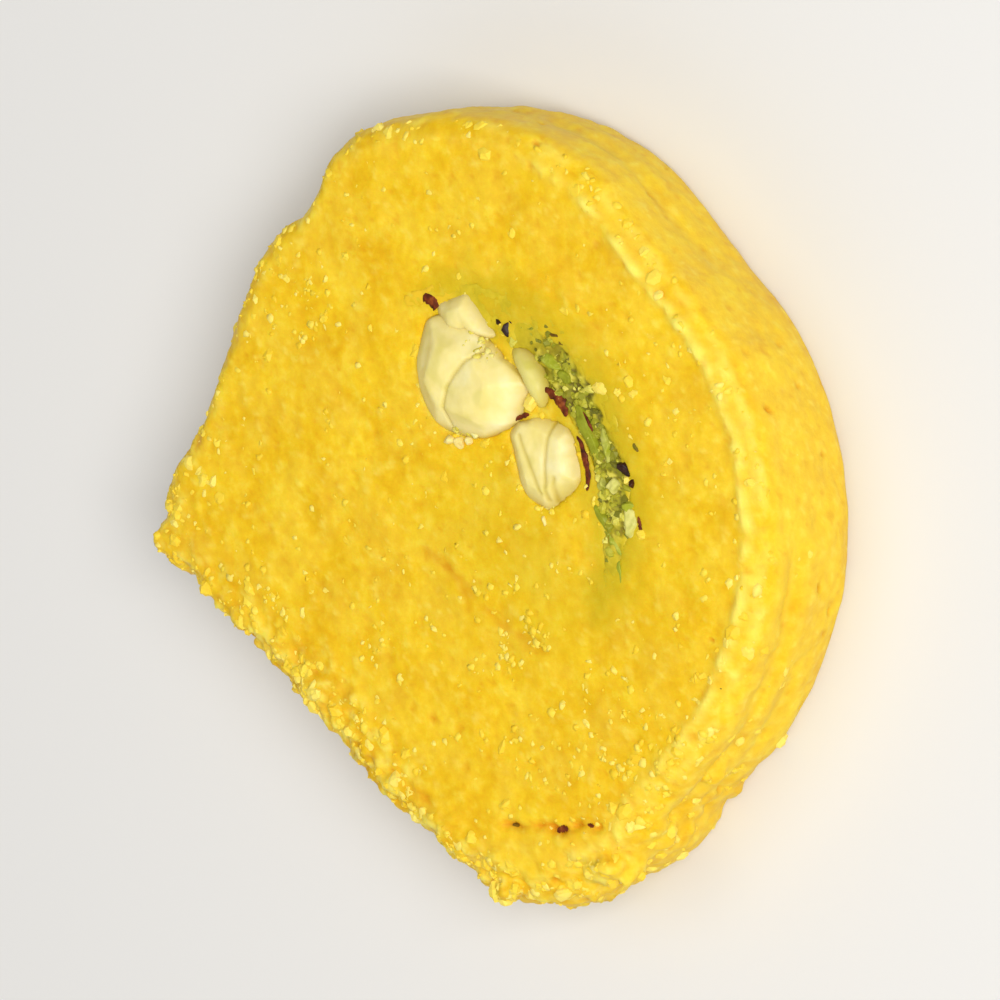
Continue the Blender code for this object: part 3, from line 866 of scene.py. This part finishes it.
# A tree that strews lumpy grains over a surface, as thickly as one of its attributes says.
def makeCrumbTree():
    tree = bpy.data.node_groups.new("strewnGrains", "GeometryNodeTree")
    for name, kind in grainSockets:
        tree.interface.new_socket(name, in_out="INPUT", socket_type="NodeSocket" + kind)
    tree.interface.new_socket("Grains", in_out="OUTPUT", socket_type="NodeSocketGeometry")
    given = addNode(tree, "NodeGroupInput").outputs
    where = addNode(tree, "GeometryNodeInputNamedAttribute", {"Name": given["Where"]}, data_type="FLOAT")
    inputs = {0: where.outputs["Attribute"], 1: given["Grains per square metre"]}
    thick = addNode(tree, "ShaderNodeMath", inputs, operation="MULTIPLY")
    inputs = {"Mesh": given["Surface"], "Density": thick, "Seed": given["Seed"]}
    places = addNode(tree, "GeometryNodeDistributePointsOnFaces", inputs, distribute_method="RANDOM")
    chance = addNode(tree, "FunctionNodeRandomValue", {"Seed": given["Seed"]}, data_type="FLOAT")
    inputs = {0: chance.outputs[1], 1: crumbs["fewerLarge"]}
    rarer = addNode(tree, "ShaderNodeMath", inputs, operation="POWER")
    sizes = {"To Min": given["Smallest half width"], "To Max": given["Largest half width"]}
    half = addNode(tree, "ShaderNodeMapRange", {"Value": rarer, **sizes})
    lower = addNode(tree, "ShaderNodeMath", {0: half, 1: given["Sink"]}, operation="MULTIPLY")
    inputs = {0: places.outputs["Normal"], "Scale": lower}
    offset = addNode(tree, "ShaderNodeVectorMath", inputs, operation="SCALE")
    reverse = addNode(tree, "ShaderNodeVectorMath", {0: offset, "Scale": -1.0}, operation="SCALE")
    inputs = {"Geometry": places.outputs["Points"], "Offset": reverse}
    sunk = addNode(tree, "GeometryNodeSetPosition", inputs)
    inputs = {"Segments": given["Segments"], "Rings": given["Rings"], "Radius": 1.0}
    ball = addNode(tree, "GeometryNodeMeshUVSphere", inputs)
    limits = {0: (0.75, 0.6, 0.5), 1: (1.3, 1.1, 1.0)}
    spread = addNode(tree, "FunctionNodeRandomValue", limits, data_type="FLOAT_VECTOR")
    size = addNode(tree, "ShaderNodeVectorMath", {0: spread, "Scale": half}, operation="SCALE")
    limits = {0: (-0.6, -0.6, 0.0), 1: (0.6, 0.6, 6.28)}
    tilt = addNode(tree, "FunctionNodeRandomValue", limits, data_type="FLOAT_VECTOR")
    inputs = {"Rotation": places.outputs["Rotation"], "Rotate By": tilt}
    turn = addNode(tree, "FunctionNodeRotateRotation", inputs, rotation_space="LOCAL")
    inputs = {"Points": sunk, "Instance": ball, "Rotation": turn, "Scale": size}
    placed = addNode(tree, "GeometryNodeInstanceOnPoints", inputs)
    shade = addNode(tree, "FunctionNodeRandomValue", {"Seed": crumbs["toneSeed"]}, data_type="FLOAT")
    kept = {"data_type": "FLOAT", "domain": "INSTANCE"}
    inputs = {"Geometry": placed, "Name": "tone", "Value": shade.outputs[1]}
    toned = addNode(tree, "GeometryNodeStoreNamedAttribute", inputs, **kept)
    real = addNode(tree, "GeometryNodeRealizeInstances", {"Geometry": toned})
    inputs = {"Scale": 1.0 / crumbs["lumpSize"], "Detail": 1.0}
    lumps = addNode(tree, "ShaderNodeTexNoise", inputs, noise_dimensions="3D")
    inputs = {0: lumps.outputs["Color"], 1: (0.5, 0.5, 0.5)}
    centred = addNode(tree, "ShaderNodeVectorMath", inputs, operation="SUBTRACT")
    inputs = {0: centred, "Scale": crumbs["lumpSize"] * crumbs["lumpiness"]}
    moved = addNode(tree, "ShaderNodeVectorMath", inputs, operation="SCALE")
    lumpy = addNode(tree, "GeometryNodeSetPosition", {"Geometry": real, "Offset": moved})
    painted = addNode(tree, "GeometryNodeSetMaterial", {"Geometry": lumpy, "Material": given["Material"]})
    addNode(tree, "NodeGroupOutput", {"Grains": painted})
    return tree


crumbTree = makeCrumbTree()


# Strews grains over a surface whose attribute says where, and keeps them as a plain mesh.
def strewn(name, surface, where, settings, material):
    carrier = linked("carrier", surface.data.copy())
    modifier = carrier.modifiers.new("grains", "NODES")
    modifier.node_group = crumbTree
    sockets = {s.name: s.identifier for s in crumbTree.interface.items_tree if s.in_out == "INPUT"}
    values = [settings[key] for key in ("density", "smallest", "largest", "sink", "seed")]
    values = [where, *values, crumbs["segments"], crumbs["rings"], material]
    for (socket, kind), value in zip(grainSockets[1:], values):
        modifier[sockets[socket]] = value
    evaluated = carrier.evaluated_get(bpy.context.evaluated_depsgraph_get())
    mesh = bpy.data.meshes.new_from_object(evaluated)
    mesh.name = name
    carrier.modifiers.remove(modifier)
    bpy.data.objects.remove(carrier)
    return linked(name, mesh)


# The sweet itself: the disc, cut out for its filling, then its torn rim, grain, pits and seam.
sweet = {
    "voxel": 0.3 * mm,
    "rounding": 2,
    "hollowFrom": 0.34,  # shares of the band's length between which its chopped nuts lie open
    "hollowTo": 0.97,
    "lumps": 150,
    "cornerLumps": 18,
    "cornerAt": (90.5, 4.0),
    "lumpRings": 10,
    "lumpSegments": 16,
    "lumpSeed": 12,
    "lumpsAt": (92.0, 224.0, 170.0),  # first, last and most usual direction
    "lumpHalf": 1.5 * mm,
    "lumpsReachDown": 9.0 * mm,
    "lumpSize": 1.1 * mm,
    "lumpHeight": 0.3 * mm,
    "grainSize": 0.8 * mm,
    "grainHeight": 0.08 * mm,
    "crumblyGrain": 0.3 * mm,
    "crumblyReach": 6.5 * mm,  # how far the crumbs of the rim reach over the face
    "lipAt": 1.7 * mm,  # the knife pushed up a ragged lip along the front edge, this far from the outline
    "lipHalfWidth": 0.48 * mm,
    "lipMiddle": 264.0,
    "lipSpread": 70.0,
    "lipHeight": 0.5 * mm,
    "swellOut": 0.45 * mm,  # the crumbly rim stands out a little more than the solid's
    "pitSize": 2.1 * mm,
    "pitDepth": 0.32 * mm,
    "seam": inMillimetres(((-3.1, 2.0), (-4.6, 0.3), (-7.2, -2.0), (-9.6, -4.5), (-11.5, -7.5))),
    "seamDepth": 0.1 * mm,
    "seamHalfWidth": 0.35 * mm,
    "crack": inMillimetres(
        ((-23.7, -1.8), (-24.3, -3.4), (-24.0, -4.8), (-24.7, -6.6), (-24.3, -8.4), (-24.6, -10.0))
    ),
    "crackDepth": 0.7 * mm,
    "crackHalfWidth": 0.34 * mm,
    "crumbSpots": (  # place and reach in mm
        (-12.5, -5.0, 4.6),
        (-4.2, 17.2, 3.0),
        (-11.3, 10.5, 3.0),
        (-19.2, -12.2, 4.0),
        (17.0, 12.0, 3.0),
    ),
    "smearHeight": 0.07 * mm,
    "smearSize": 1.5 * mm,
    "smearStretch": (0.22, 1.0, 1.0),  # drawn out along the knife's way
    "tintReach": 2.3 * mm,
    "tint": 0.58,
    "stainMiddle": (-2.0 * mm, -11.0 * mm),  # the fainter green stain that the whole filling leaves
    "stainReach": 18.0 * mm,
    "stainFull": 3.0 * mm,
    "stain": 0.22,
}


# Lumps where the rim was torn and not cut, thickest on the left and at the foot of the face.
def tornLumps():
    chance = random.Random(sweet["lumpSeed"])
    lumps = []
    for i in range(sweet["lumps"]):
        angle = chance.triangular(*sweet["lumpsAt"])
        if i < sweet["cornerLumps"]:
            angle = chance.gauss(*sweet["cornerAt"])
        half = chance.uniform(0.5, 1.0) ** 2 * sweet["lumpHalf"]
        height = thickness - chance.uniform(0.3, 1.0) ** 2 * sweet["lumpsReachDown"]
        extra = bump(angle, roll["tornLip"]) * max(0.0, 1.0 - (thickness - height) / roll["lipDepth"])
        middle = heading(angle) * (outline(angle) + extra - 0.35 * half)
        middle += Vector((0.0, 0.0, height - 0.5 * half))
        shape = [chance.uniform(0.7, 1.3) * half for k in range(3)]

        def pointAt(ring, s):
            unit = onBall(math.pi * ring / sweet["lumpRings"], 2.0 * math.pi * s / sweet["lumpSegments"])
            reach = 1.0 + 0.55 * noise.fractal(unit * 1.3 + Vector((i, 0.0, 0.0)), 0.9, 2.1, 2)
            return middle + Vector([a * b * reach for a, b in zip(unit, shape)])

        lumps.append(outwards(ringShape("lump", sweet["lumpRings"], sweet["lumpSegments"], pointAt)))
    return lumps


def makeSweet():
    disc = joined("patisa_sweet", [makeDisc()] + tornLumps())
    stretch = (sweet["hollowFrom"], sweet["hollowTo"])
    cutters = nutCutters(nuts, True) + [makeBand("cutter", 2.0 * thickness, -thickness, 0.0, *stretch, True)]
    combined(disc, cutters, "DIFFERENCE")
    evenSkin(disc, sweet["voxel"], sweet["rounding"])
    points, normals = pointsOf(disc), normalsOf(disc)
    angle = np.degrees(np.arctan2(points[:, 1], points[:, 0])) % 360.0
    reach = np.interp(angle, np.arange(361), [outline(a % 360) for a in range(361)])
    fromRim = reach - np.linalg.norm(points[:, :2], axis=1)
    apart = (angle - roll["crumblyAt"] + 180.0) % 360.0 - 180.0
    crumbly = np.exp(-((apart / roll["crumblySpread"]) ** 2))
    front = eased(normals[:, 2], 0.3, 0.8) * eased(points[:, 2], 8.5 * mm, 10.0 * mm)
    outside = eased(fromRim, sweet["crumblyReach"], 1.2 * mm)
    lip = np.exp(-(((fromRim - sweet["lipAt"]) / sweet["lipHalfWidth"]) ** 2))
    lip *= front * (1.0 - 0.7 * crumbly)
    lip *= 0.55 + 0.9 * np.maximum(noiseAt(points, 1.6 * mm, 2, 7.0), -0.5)
    fromLip = np.abs((angle - sweet["lipMiddle"] + 180.0) % 360.0 - 180.0) / sweet["lipSpread"]
    lip *= 0.12 + 0.88 * np.exp(-(fromLip**4))

    near, chance = grainsAt(points, sweet["lumpSize"])[::2]
    near = near + 0.35 * noiseAt(points, 0.7 * mm, 2, 1.0)
    lumps = (0.9 * (chance - 0.5) + 0.6 * (0.5 - near)) * outside * (0.1 + 0.9 * crumbly)
    grain = noiseAt(points, sweet["grainSize"], 3)
    pitNear, pitChance = grainsAt(points, sweet["pitSize"], 5.0)[::2]
    pitNear = pitNear + 0.12 * noiseAt(points, 0.5 * mm, 2)
    pits = eased(pitNear, 0.08 + 0.9 * pitChance, 0.02) * eased(pitChance, 0.42, 0.12)
    pits *= 0.35 + 0.65 * np.maximum(outside, crumbly * 0.5)
    waver = noiseAt(points, 1.4 * mm, 2, 3.0) * 0.5 * mm
    seam = np.exp(-(((lineDistance(points, sweet["seam"]) + waver) / sweet["seamHalfWidth"]) ** 2)) * front
    crack = np.exp(-(((lineDistance(points, sweet["crack"]) + 0.6 * waver) / sweet["crackHalfWidth"]) ** 2))
    gape = eased(noiseAt(points, 1.1 * mm, 1, 8.0), -0.2, 0.2)
    crack *= eased(points[:, 2], 5.0 * mm, 7.0 * mm) * (0.35 + 0.65 * gape)

    sideways = points @ np.array(((0.87, -0.5, 0.0), (0.5, 0.87, 0.0), (0.0, 0.0, 1.0)))
    smears = noiseAt(sideways * np.array(sweet["smearStretch"]), sweet["smearSize"], 2, 13.0)
    ridge = np.exp(-(((normals[:, 2] - 0.72) / 0.22) ** 2)) * eased(points[:, 2], 6.0 * mm, 8.5 * mm)
    height = sweet["lumpHeight"] * lumps + sweet["swellOut"] * crumbly * outside * (1.0 - normals[:, 2])
    coarse = sweet["grainHeight"] + sweet["crumblyGrain"] * crumbly * outside + 0.12 * mm * ridge
    height += coarse * grain * 0.6
    height += sweet["lipHeight"] * lip + sweet["smearHeight"] * smears * front * (1.0 - outside)
    height -= sweet["pitDepth"] * pits
    height -= sweet["seamDepth"] * seam + sweet["crackDepth"] * crack
    underneath = eased(points[:, 2], 1.5 * mm, 0.3 * mm)
    height *= 1.0 - 0.8 * underneath
    moved = points + normals * height[:, None]
    moved[:, 2] = np.maximum(moved[:, 2], 0.0)
    movePoints(disc, moved)

    along, across = bandPlace(points)
    halfBand = 1.3 * mm * np.sqrt(np.clip(np.sin(np.pi * np.clip(along, 0, 1)), 0, 1))
    beyond = np.maximum(np.abs(across) - halfBand, 0.0)
    beyond += 24 * mm * (np.maximum(along - 1.02, 0.0) + np.maximum(0.13 - along, 0.0))
    blot = 0.75 + 0.5 * noiseAt(points, 1.6 * mm, 2)
    tinted = np.exp(-((beyond / (sweet["tintReach"] * blot)) ** 2)) * sweet["tint"]
    away = np.linalg.norm(points[:, :2] - np.array(sweet["stainMiddle"]), axis=1)
    stain = sweet["stain"] * eased(away, sweet["stainReach"], sweet["stainFull"])
    tinted += stain * (1.0 + noiseAt(points, 5.0 * mm, 2, 11.0))
    keepValue(disc, "tinted", np.clip(tinted, 0, 1))
    # Painted highlight: paler on raised grain, in the middles of torn lumps, on sides turned away from up,
    # along the ridge and on the lip.
    painted_highlight = 0.5 * eased(grain, 0.25, 0.9) + 0.8 * crumbly * outside * eased(0.55 - near, 0.1, 0.4)
    painted_highlight += 0.2 * eased(normals[:, 2], 0.6, 0.1) * (1.0 - crumbly)
    painted_highlight += 0.6 * ridge * eased(noiseAt(points, 2.5 * mm, 3, 2.0), -0.3, 0.4) + 0.9 * lip
    keepValue(disc, "painted_highlight", np.maximum(np.clip(painted_highlight, 0, 1) * 0.8, np.clip(1.3 * lip, 0, 1)))
    # Painted shade: darker orange in the pits, the low parts of the grain, the seam, the crack and between
    # the torn lumps.
    painted_hollow_shade = 0.85 * pits + 0.35 * eased(grain, -0.3, -0.9) + 0.5 * seam + 1.0 * crack
    painted_hollow_shade += 0.35 * crumbly * outside * eased(near, 0.5, 0.8)
    keepValue(disc, "painted_hollow_shade", np.clip(painted_hollow_shade, 0, 1))
    spots = sum(
        np.exp(-(np.linalg.norm(points[:, :2] / mm - (x, y), axis=1) / reach) ** 2)
        for x, y, reach in sweet["crumbSpots"]
    )
    clouds = noiseAt(points, 2.2 * mm, 2, 9.0)
    patch = 0.003 + 0.014 * eased(clouds, 0.2, 0.8) + 1.0 * spots * eased(clouds, -0.25, 0.4)
    strewnHere = (front * patch + 0.22 * ridge) * eased(np.abs(across), 1.0 * mm, 2.0 * mm)
    keepValue(disc, "strewn", np.clip(strewnHere, 0, 1))
    torn = crumbly * outside * eased(points[:, 2], 0.5 * mm, 3.0 * mm)
    torn += 0.3 * ridge * (1.0 - crumbly) + 0.25 * lip
    torn *= 0.25 + 0.75 * eased(noiseAt(points, 3.0 * mm, 2, 6.0), -0.2, 0.3)
    keepValue(disc, "torn", np.clip(torn, 0, 1))
    return disc


print("shaping the sweet")
sweetPiece = makeSweet()
crumbPiece = strewn("patisa_crumbs", sweetPiece, "strewn", crumbs["sweet"], crumbMaterial)
tornPiece = strewn("patisa_torn_crumbs", sweetPiece, "torn", crumbs["torn"], crumbMaterial)
finished(sweetPiece, sweetMaterial, "yellow_sweet", "patisa_body")
finished(crumbPiece, crumbMaterial, "yellow_sweet")
finished(tornPiece, crumbMaterial, "yellow_sweet").data.shade_flat()


def makeFilling():
    band = makeBand("pistachio_filling", thickness, 0.0, roll["faceRelief"])
    combined(band, nutCutters(nuts, True), "DIFFERENCE")
    evenSkin(band, filling["voxel"], 1)
    points, normals = pointsOf(band), normalsOf(band)
    along, across = bandPlace(points)
    start, fade = filling["pasteUntil"], filling["fadeFrom"]
    grainy = eased(along, start - 0.12, start + 0.08) * eased(along, fade + 0.12, fade - 0.05)
    shares = np.linspace(0.0, 1.0, 200)
    outer = np.interp(along, shares, [bandEdge(s, 1) for s in shares])
    inner = np.interp(along, shares, [bandEdge(s, -1) for s in shares])
    outer -= np.array([outerMarginAt(share) for share in along])
    inside = np.minimum(outer - across, across - inner - filling["innerMargin"])
    ragged = inside + 0.4 * mm * noiseAt(points, 1.1 * mm, 2)
    grainy *= eased(ragged, -0.2 * mm, 0.2 * mm)
    near, second, chance = grainsAt(points, filling["grainSize"])
    near = near + 0.25 * noiseAt(points, 0.4 * mm, 2)
    ends = eased(np.abs(points[:, 2] - thickness / 2), 4.0 * mm, 5.0 * mm)
    height = filling["grainHeight"] * (0.3 - np.maximum(near, 0.25)) * (0.1 + 0.9 * grainy) * ends
    height += filling["grainSteps"] * (chance - 0.6) * grainy * ends
    height += filling["fineHeight"] * noiseAt(points, filling["fineSize"], 2) * ends
    moved = points + normals * height[:, None]
    moved[:, 2] = np.maximum(moved[:, 2], 0.0)
    movePoints(band, moved)
    keepValue(band, "tone", np.clip(chance, 0, 1))
    # Painted shade: dark olive in the crevices between the granules.
    keepValue(band, "painted_crevice_shade", eased(second - near, 0.2, 0.0) * 0.85)
    keepValue(band, "paste", 1.0 - grainy)
    keepValue(band, "plain", eased(along + 0.03 * noiseAt(points, 1.6 * mm, 2), 0.2, 0.08))
    keepValue(band, "strewn", grainy * eased(normals[:, 2], 0.3, 0.8) * eased(points[:, 2], 9 * mm, 10 * mm))
    return band


print("shaping the filling")
fillingPiece = makeFilling()
grainPiece = strewn("pistachio_crumbs", fillingPiece, "strewn", crumbs["pistachio"], grainMaterial)
finished(fillingPiece, fillingMaterial, "pistachio", "pistachio_band")
finished(grainPiece, grainMaterial, "pistachio").data.shade_flat()


def makeBits(name, bits, seed):
    parts = []
    noise.seed_set(seed)
    rings, segments, power = kernels["rings"], kernels["segments"], kernels["squareness"]
    for i, (spot, size, turn, rise, tone) in enumerate(bits):
        turned = Matrix.Rotation(math.radians(turn), 3, "Z")
        upper = rise * mm
        middle = thickness + (upper - kernels["depth"]) / 2.0
        tall = (upper + kernels["depth"]) / 2.0
        facets = [noise.random_unit_vector() for k in range(kernels["facets"])]

        def pointAt(ring, s):
            unit = onBall(math.pi * ring / rings, 2.0 * math.pi * s / segments)
            length = sum(abs(v) ** power for v in unit) ** (1.0 / power)
            local = unit / length
            for facet in facets:
                local -= facet * max(0.0, local.dot(facet) - kernels["facetDepth"])
            local = Vector((local.x * size[0] * mm / 2, local.y * size[1] * mm / 2, local.z * tall))
            key = local / kernels["lumpSize"] + Vector((i * 3.7, i * 1.9, 0.0))
            local *= 1.0 + kernels["lumps"] * noise.fractal(key, 0.9, 2.1, 2)
            return Vector((spot[0] * mm, spot[1] * mm, middle)) + turned @ local

        part = outwards(ringShape("kernel", rings, segments, pointAt))
        keepValue(part, "tone", np.full(len(part.data.vertices), tone))
        parts.append(part)
    return joined(name, parts)


def makeSkins():
    parts = []
    for i, (line, width, rise) in enumerate(skins["flakes"]):
        stops = [Vector((x, y, 0.0)) * mm for x, y in line]
        steps, sides = skins["steps"], skins["sides"]

        def middleAt(share):
            place = share * (len(stops) - 1)
            k = min(int(place), len(stops) - 2)
            return stops[k].lerp(stops[k + 1], place - k)

        def smoothAt(share):
            near = [min(1.0, max(0.0, share + 0.06 * k)) for k in (-2, -1, 0, 1, 2)]
            return sum((middleAt(place) for place in near), Vector()) / 5

        def pointAt(ring, s):
            share = ring / steps
            ahead = (smoothAt(min(1.0, share + 0.02)) - smoothAt(max(0.0, share - 0.02))).normalized()
            across = Vector((-ahead.y, ahead.x, 0.0))
            taper = math.sin(math.pi * min(0.97, max(0.03, share))) ** 0.5 if 0 < ring < steps else 0.0
            side = 2.0 * math.pi * s / sides
            ragged = 1.0 + skins["raggedness"] * noise.noise((9.0 * share, i, math.cos(side)))
            wide = width * mm / 2 * taper * ragged * math.cos(side)
            thin = skins["thickness"] * taper * math.sin(side)
            sag = noise.noise(smoothAt(share) / (0.9 * mm) + Vector((i, s * 0.05, 0))) * skins["wave"]
            height = thickness + rise * mm - 0.25 * mm - 0.6 * wide**2 / mm + thin + sag
            return smoothAt(share) + across * wide + Vector((0, 0, height))

        parts.append(outwards(ringShape("flake", steps, sides, pointAt)))
    return joined("nut_skins_and_painted_shadow", parts)


print("shaping kernels and skins")
finished(makeBits("pistachio_kernels", kernels["green"], 5), kernelMaterial, "pistachio")
finished(makeBits("cashew_bits", kernels["cream"], 8), bitMaterial, "cashew")
finished(makeSkins(), skinMaterial, "pistachio")


def finishNut(obj, settings, node):
    evenSkin(obj, nutSkin["voxel"], 1)
    points, normals = pointsOf(obj), normalsOf(obj)
    height = nutSkin["waves"] * noiseAt(points, nutSkin["waveSize"], 2)
    height += nutSkin["fine"] * noiseAt(points, nutSkin["fineSize"], 2)
    crease = np.zeros(len(points))
    upward = eased(normals[:, 2], 0.0, 0.5)
    for line, depth, halfWidth in settings["creases"]:
        cut = np.exp(-((lineDistance(points, inMillimetres(line)) / (halfWidth * mm)) ** 2)) * upward
        height -= depth * mm * cut
        crease = np.maximum(crease, cut)
    if settings["valley"]:
        line, depth, halfWidth = settings["valley"]
        dip = np.exp(-((lineDistance(points, inMillimetres(line)) / (halfWidth * mm)) ** 2)) * upward
        height -= depth * mm * dip
    movePoints(obj, points + normals * height[:, None])
    foot = eased(points[:, 2], thickness + 0.7 * mm, thickness - 0.3 * mm)
    clouds = noiseAt(points, 1.8 * mm, 2, 4.0)
    # Painted shade: darker and browner at the foot, where the nut meets the sweet, and in the creases.
    keepValue(obj, "stain_and_painted_shade", np.clip(0.45 * crease + 0.7 * foot, 0, 1))
    # Greener in random patches and all over the sliver, and painted shade in the creases.
    green = 0.35 * eased(clouds, 0.1, 0.6) + 0.3 * crease + (0.75 if node == "cashew_sliver" else 0.0)
    keepValue(obj, "green_tone_and_crease_shade", np.clip(green, 0, 1))
    # Painted highlight: paler on the sides above the face, where they turn away from the top.
    above = eased(points[:, 2], thickness, thickness + mm)
    keepValue(obj, "painted_side_highlight", 0.5 * eased(normals[:, 2], 0.9, 0.5) * above)
    dusty = np.zeros(len(points))
    for line, reach in settings["dusty"]:
        dusty += eased(lineDistance(points, inMillimetres(line)), reach * mm, 0.0)
    keepValue(obj, "dusty", dusty * eased(points[:, 2], thickness - mm, thickness))
    dust = strewn(node + "_dust", obj, "dusty", crumbs["dust"], dustMaterial) if settings["dusty"] else None
    finished(obj, cashewMaterial, "cashew", node)
    if dust:
        finished(dust, dustMaterial, "cashew")


print("shaping the cashews")
shaped = [makeNut(name, settings) for name, settings in nuts.items()]
for nut in shaped[1:]:
    combined(nut, nutCutters(["cashew_large_nut"]), "DIFFERENCE")
thin = combined(makeSliver("cashew_sliver_nut"), nutCutters(nuts), "DIFFERENCE")
for nut in shaped:
    finishNut(nut, nuts[nut.name], nut.name.removesuffix("_nut"))
finishNut(thin, {"creases": (), "valley": None, "dusty": ()}, "cashew_sliver")


# The floor, the light and the camera.
stage = {
    "floorHalfWidth": 0.6,
    "floor": "#e9e7e3",
    "world": "#ffffff",
    "worldStrength": 0.31,
}
camera = {
    "elevation": 52.0,
    "roll": 8.0,
    "lens": 250.0,
    "sensor": 36.0,
    "frame": 73.6 * mm,  # width of what the camera sees at the face
    "aim": Vector((-0.1, -3.6, 8.7)) * mm,
}

rise = math.radians(camera["elevation"])
towards = Vector((0.0, -math.cos(rise), math.sin(rise)))
down = Vector((0.0, -math.sin(rise), -math.cos(rise)))
side = Vector((1.0, 0.0, 0.0))
tip = math.radians(camera["roll"])
right = math.cos(tip) * down - math.sin(tip) * side
up = math.sin(tip) * down + math.cos(tip) * side
target = camera["aim"] + rollCentre


def facing(place, xAxis, yAxis, zAxis):
    matrix = Matrix.Identity(4)
    for i in range(3):
        matrix[i][0], matrix[i][1], matrix[i][2], matrix[i][3] = xAxis[i], yAxis[i], zAxis[i], place[i]
    return matrix


cameraData = bpy.data.cameras.new("camera")
cameraData.lens = camera["lens"]
cameraData.sensor_width = camera["sensor"]
cameraData.clip_start = 0.01
distance = camera["frame"] * camera["lens"] / camera["sensor"]
scene.camera = linked("camera", cameraData)
scene.camera.matrix_world = facing(target + towards * distance, right, up, towards)

# Area lights: direction from the slice, distance, width and power in watts.
lights = {
    "key": ((-0.08, -0.86, 0.9), 0.6, 0.3, 2.75),
    "fill": ((-0.9, 0.3, 0.7), 0.7, 0.6, 0.85),
    "top": ((0.2, 0.1, 1.0), 0.7, 0.4, 0.7),
}
for name, (direction, away, width, power) in lights.items():
    data = bpy.data.lights.new(name, "AREA")
    data.energy = power
    data.size = width
    outward = Vector(direction).normalized()
    turned = outward.to_track_quat("Z", "Y").to_matrix().to_4x4()
    linked(name, data).matrix_world = Matrix.Translation(outward * away) @ turned

world = bpy.data.worlds.new("studio")
world.use_nodes = True
background = world.node_tree.nodes["Background"]
background.inputs["Color"].default_value = hexColour(stage["world"])
background.inputs["Strength"].default_value = stage["worldStrength"]
scene.world = world
scene.view_settings.view_transform = "Standard"

half = stage["floorHalfWidth"]
corners = [(-half, -half, 0), (half, -half, 0), (half, half, 0), (-half, half, 0)]
floor = newObject("floor", corners, [(0, 1, 2, 3)])
floorMaterial = startMaterial("pressedPaperMatt")[0]
floor.data.materials.append(endMaterial(floorMaterial, hexColour(stage["floor"]), 0.9, 1.5, 0.1))
print("floor, light and camera set")
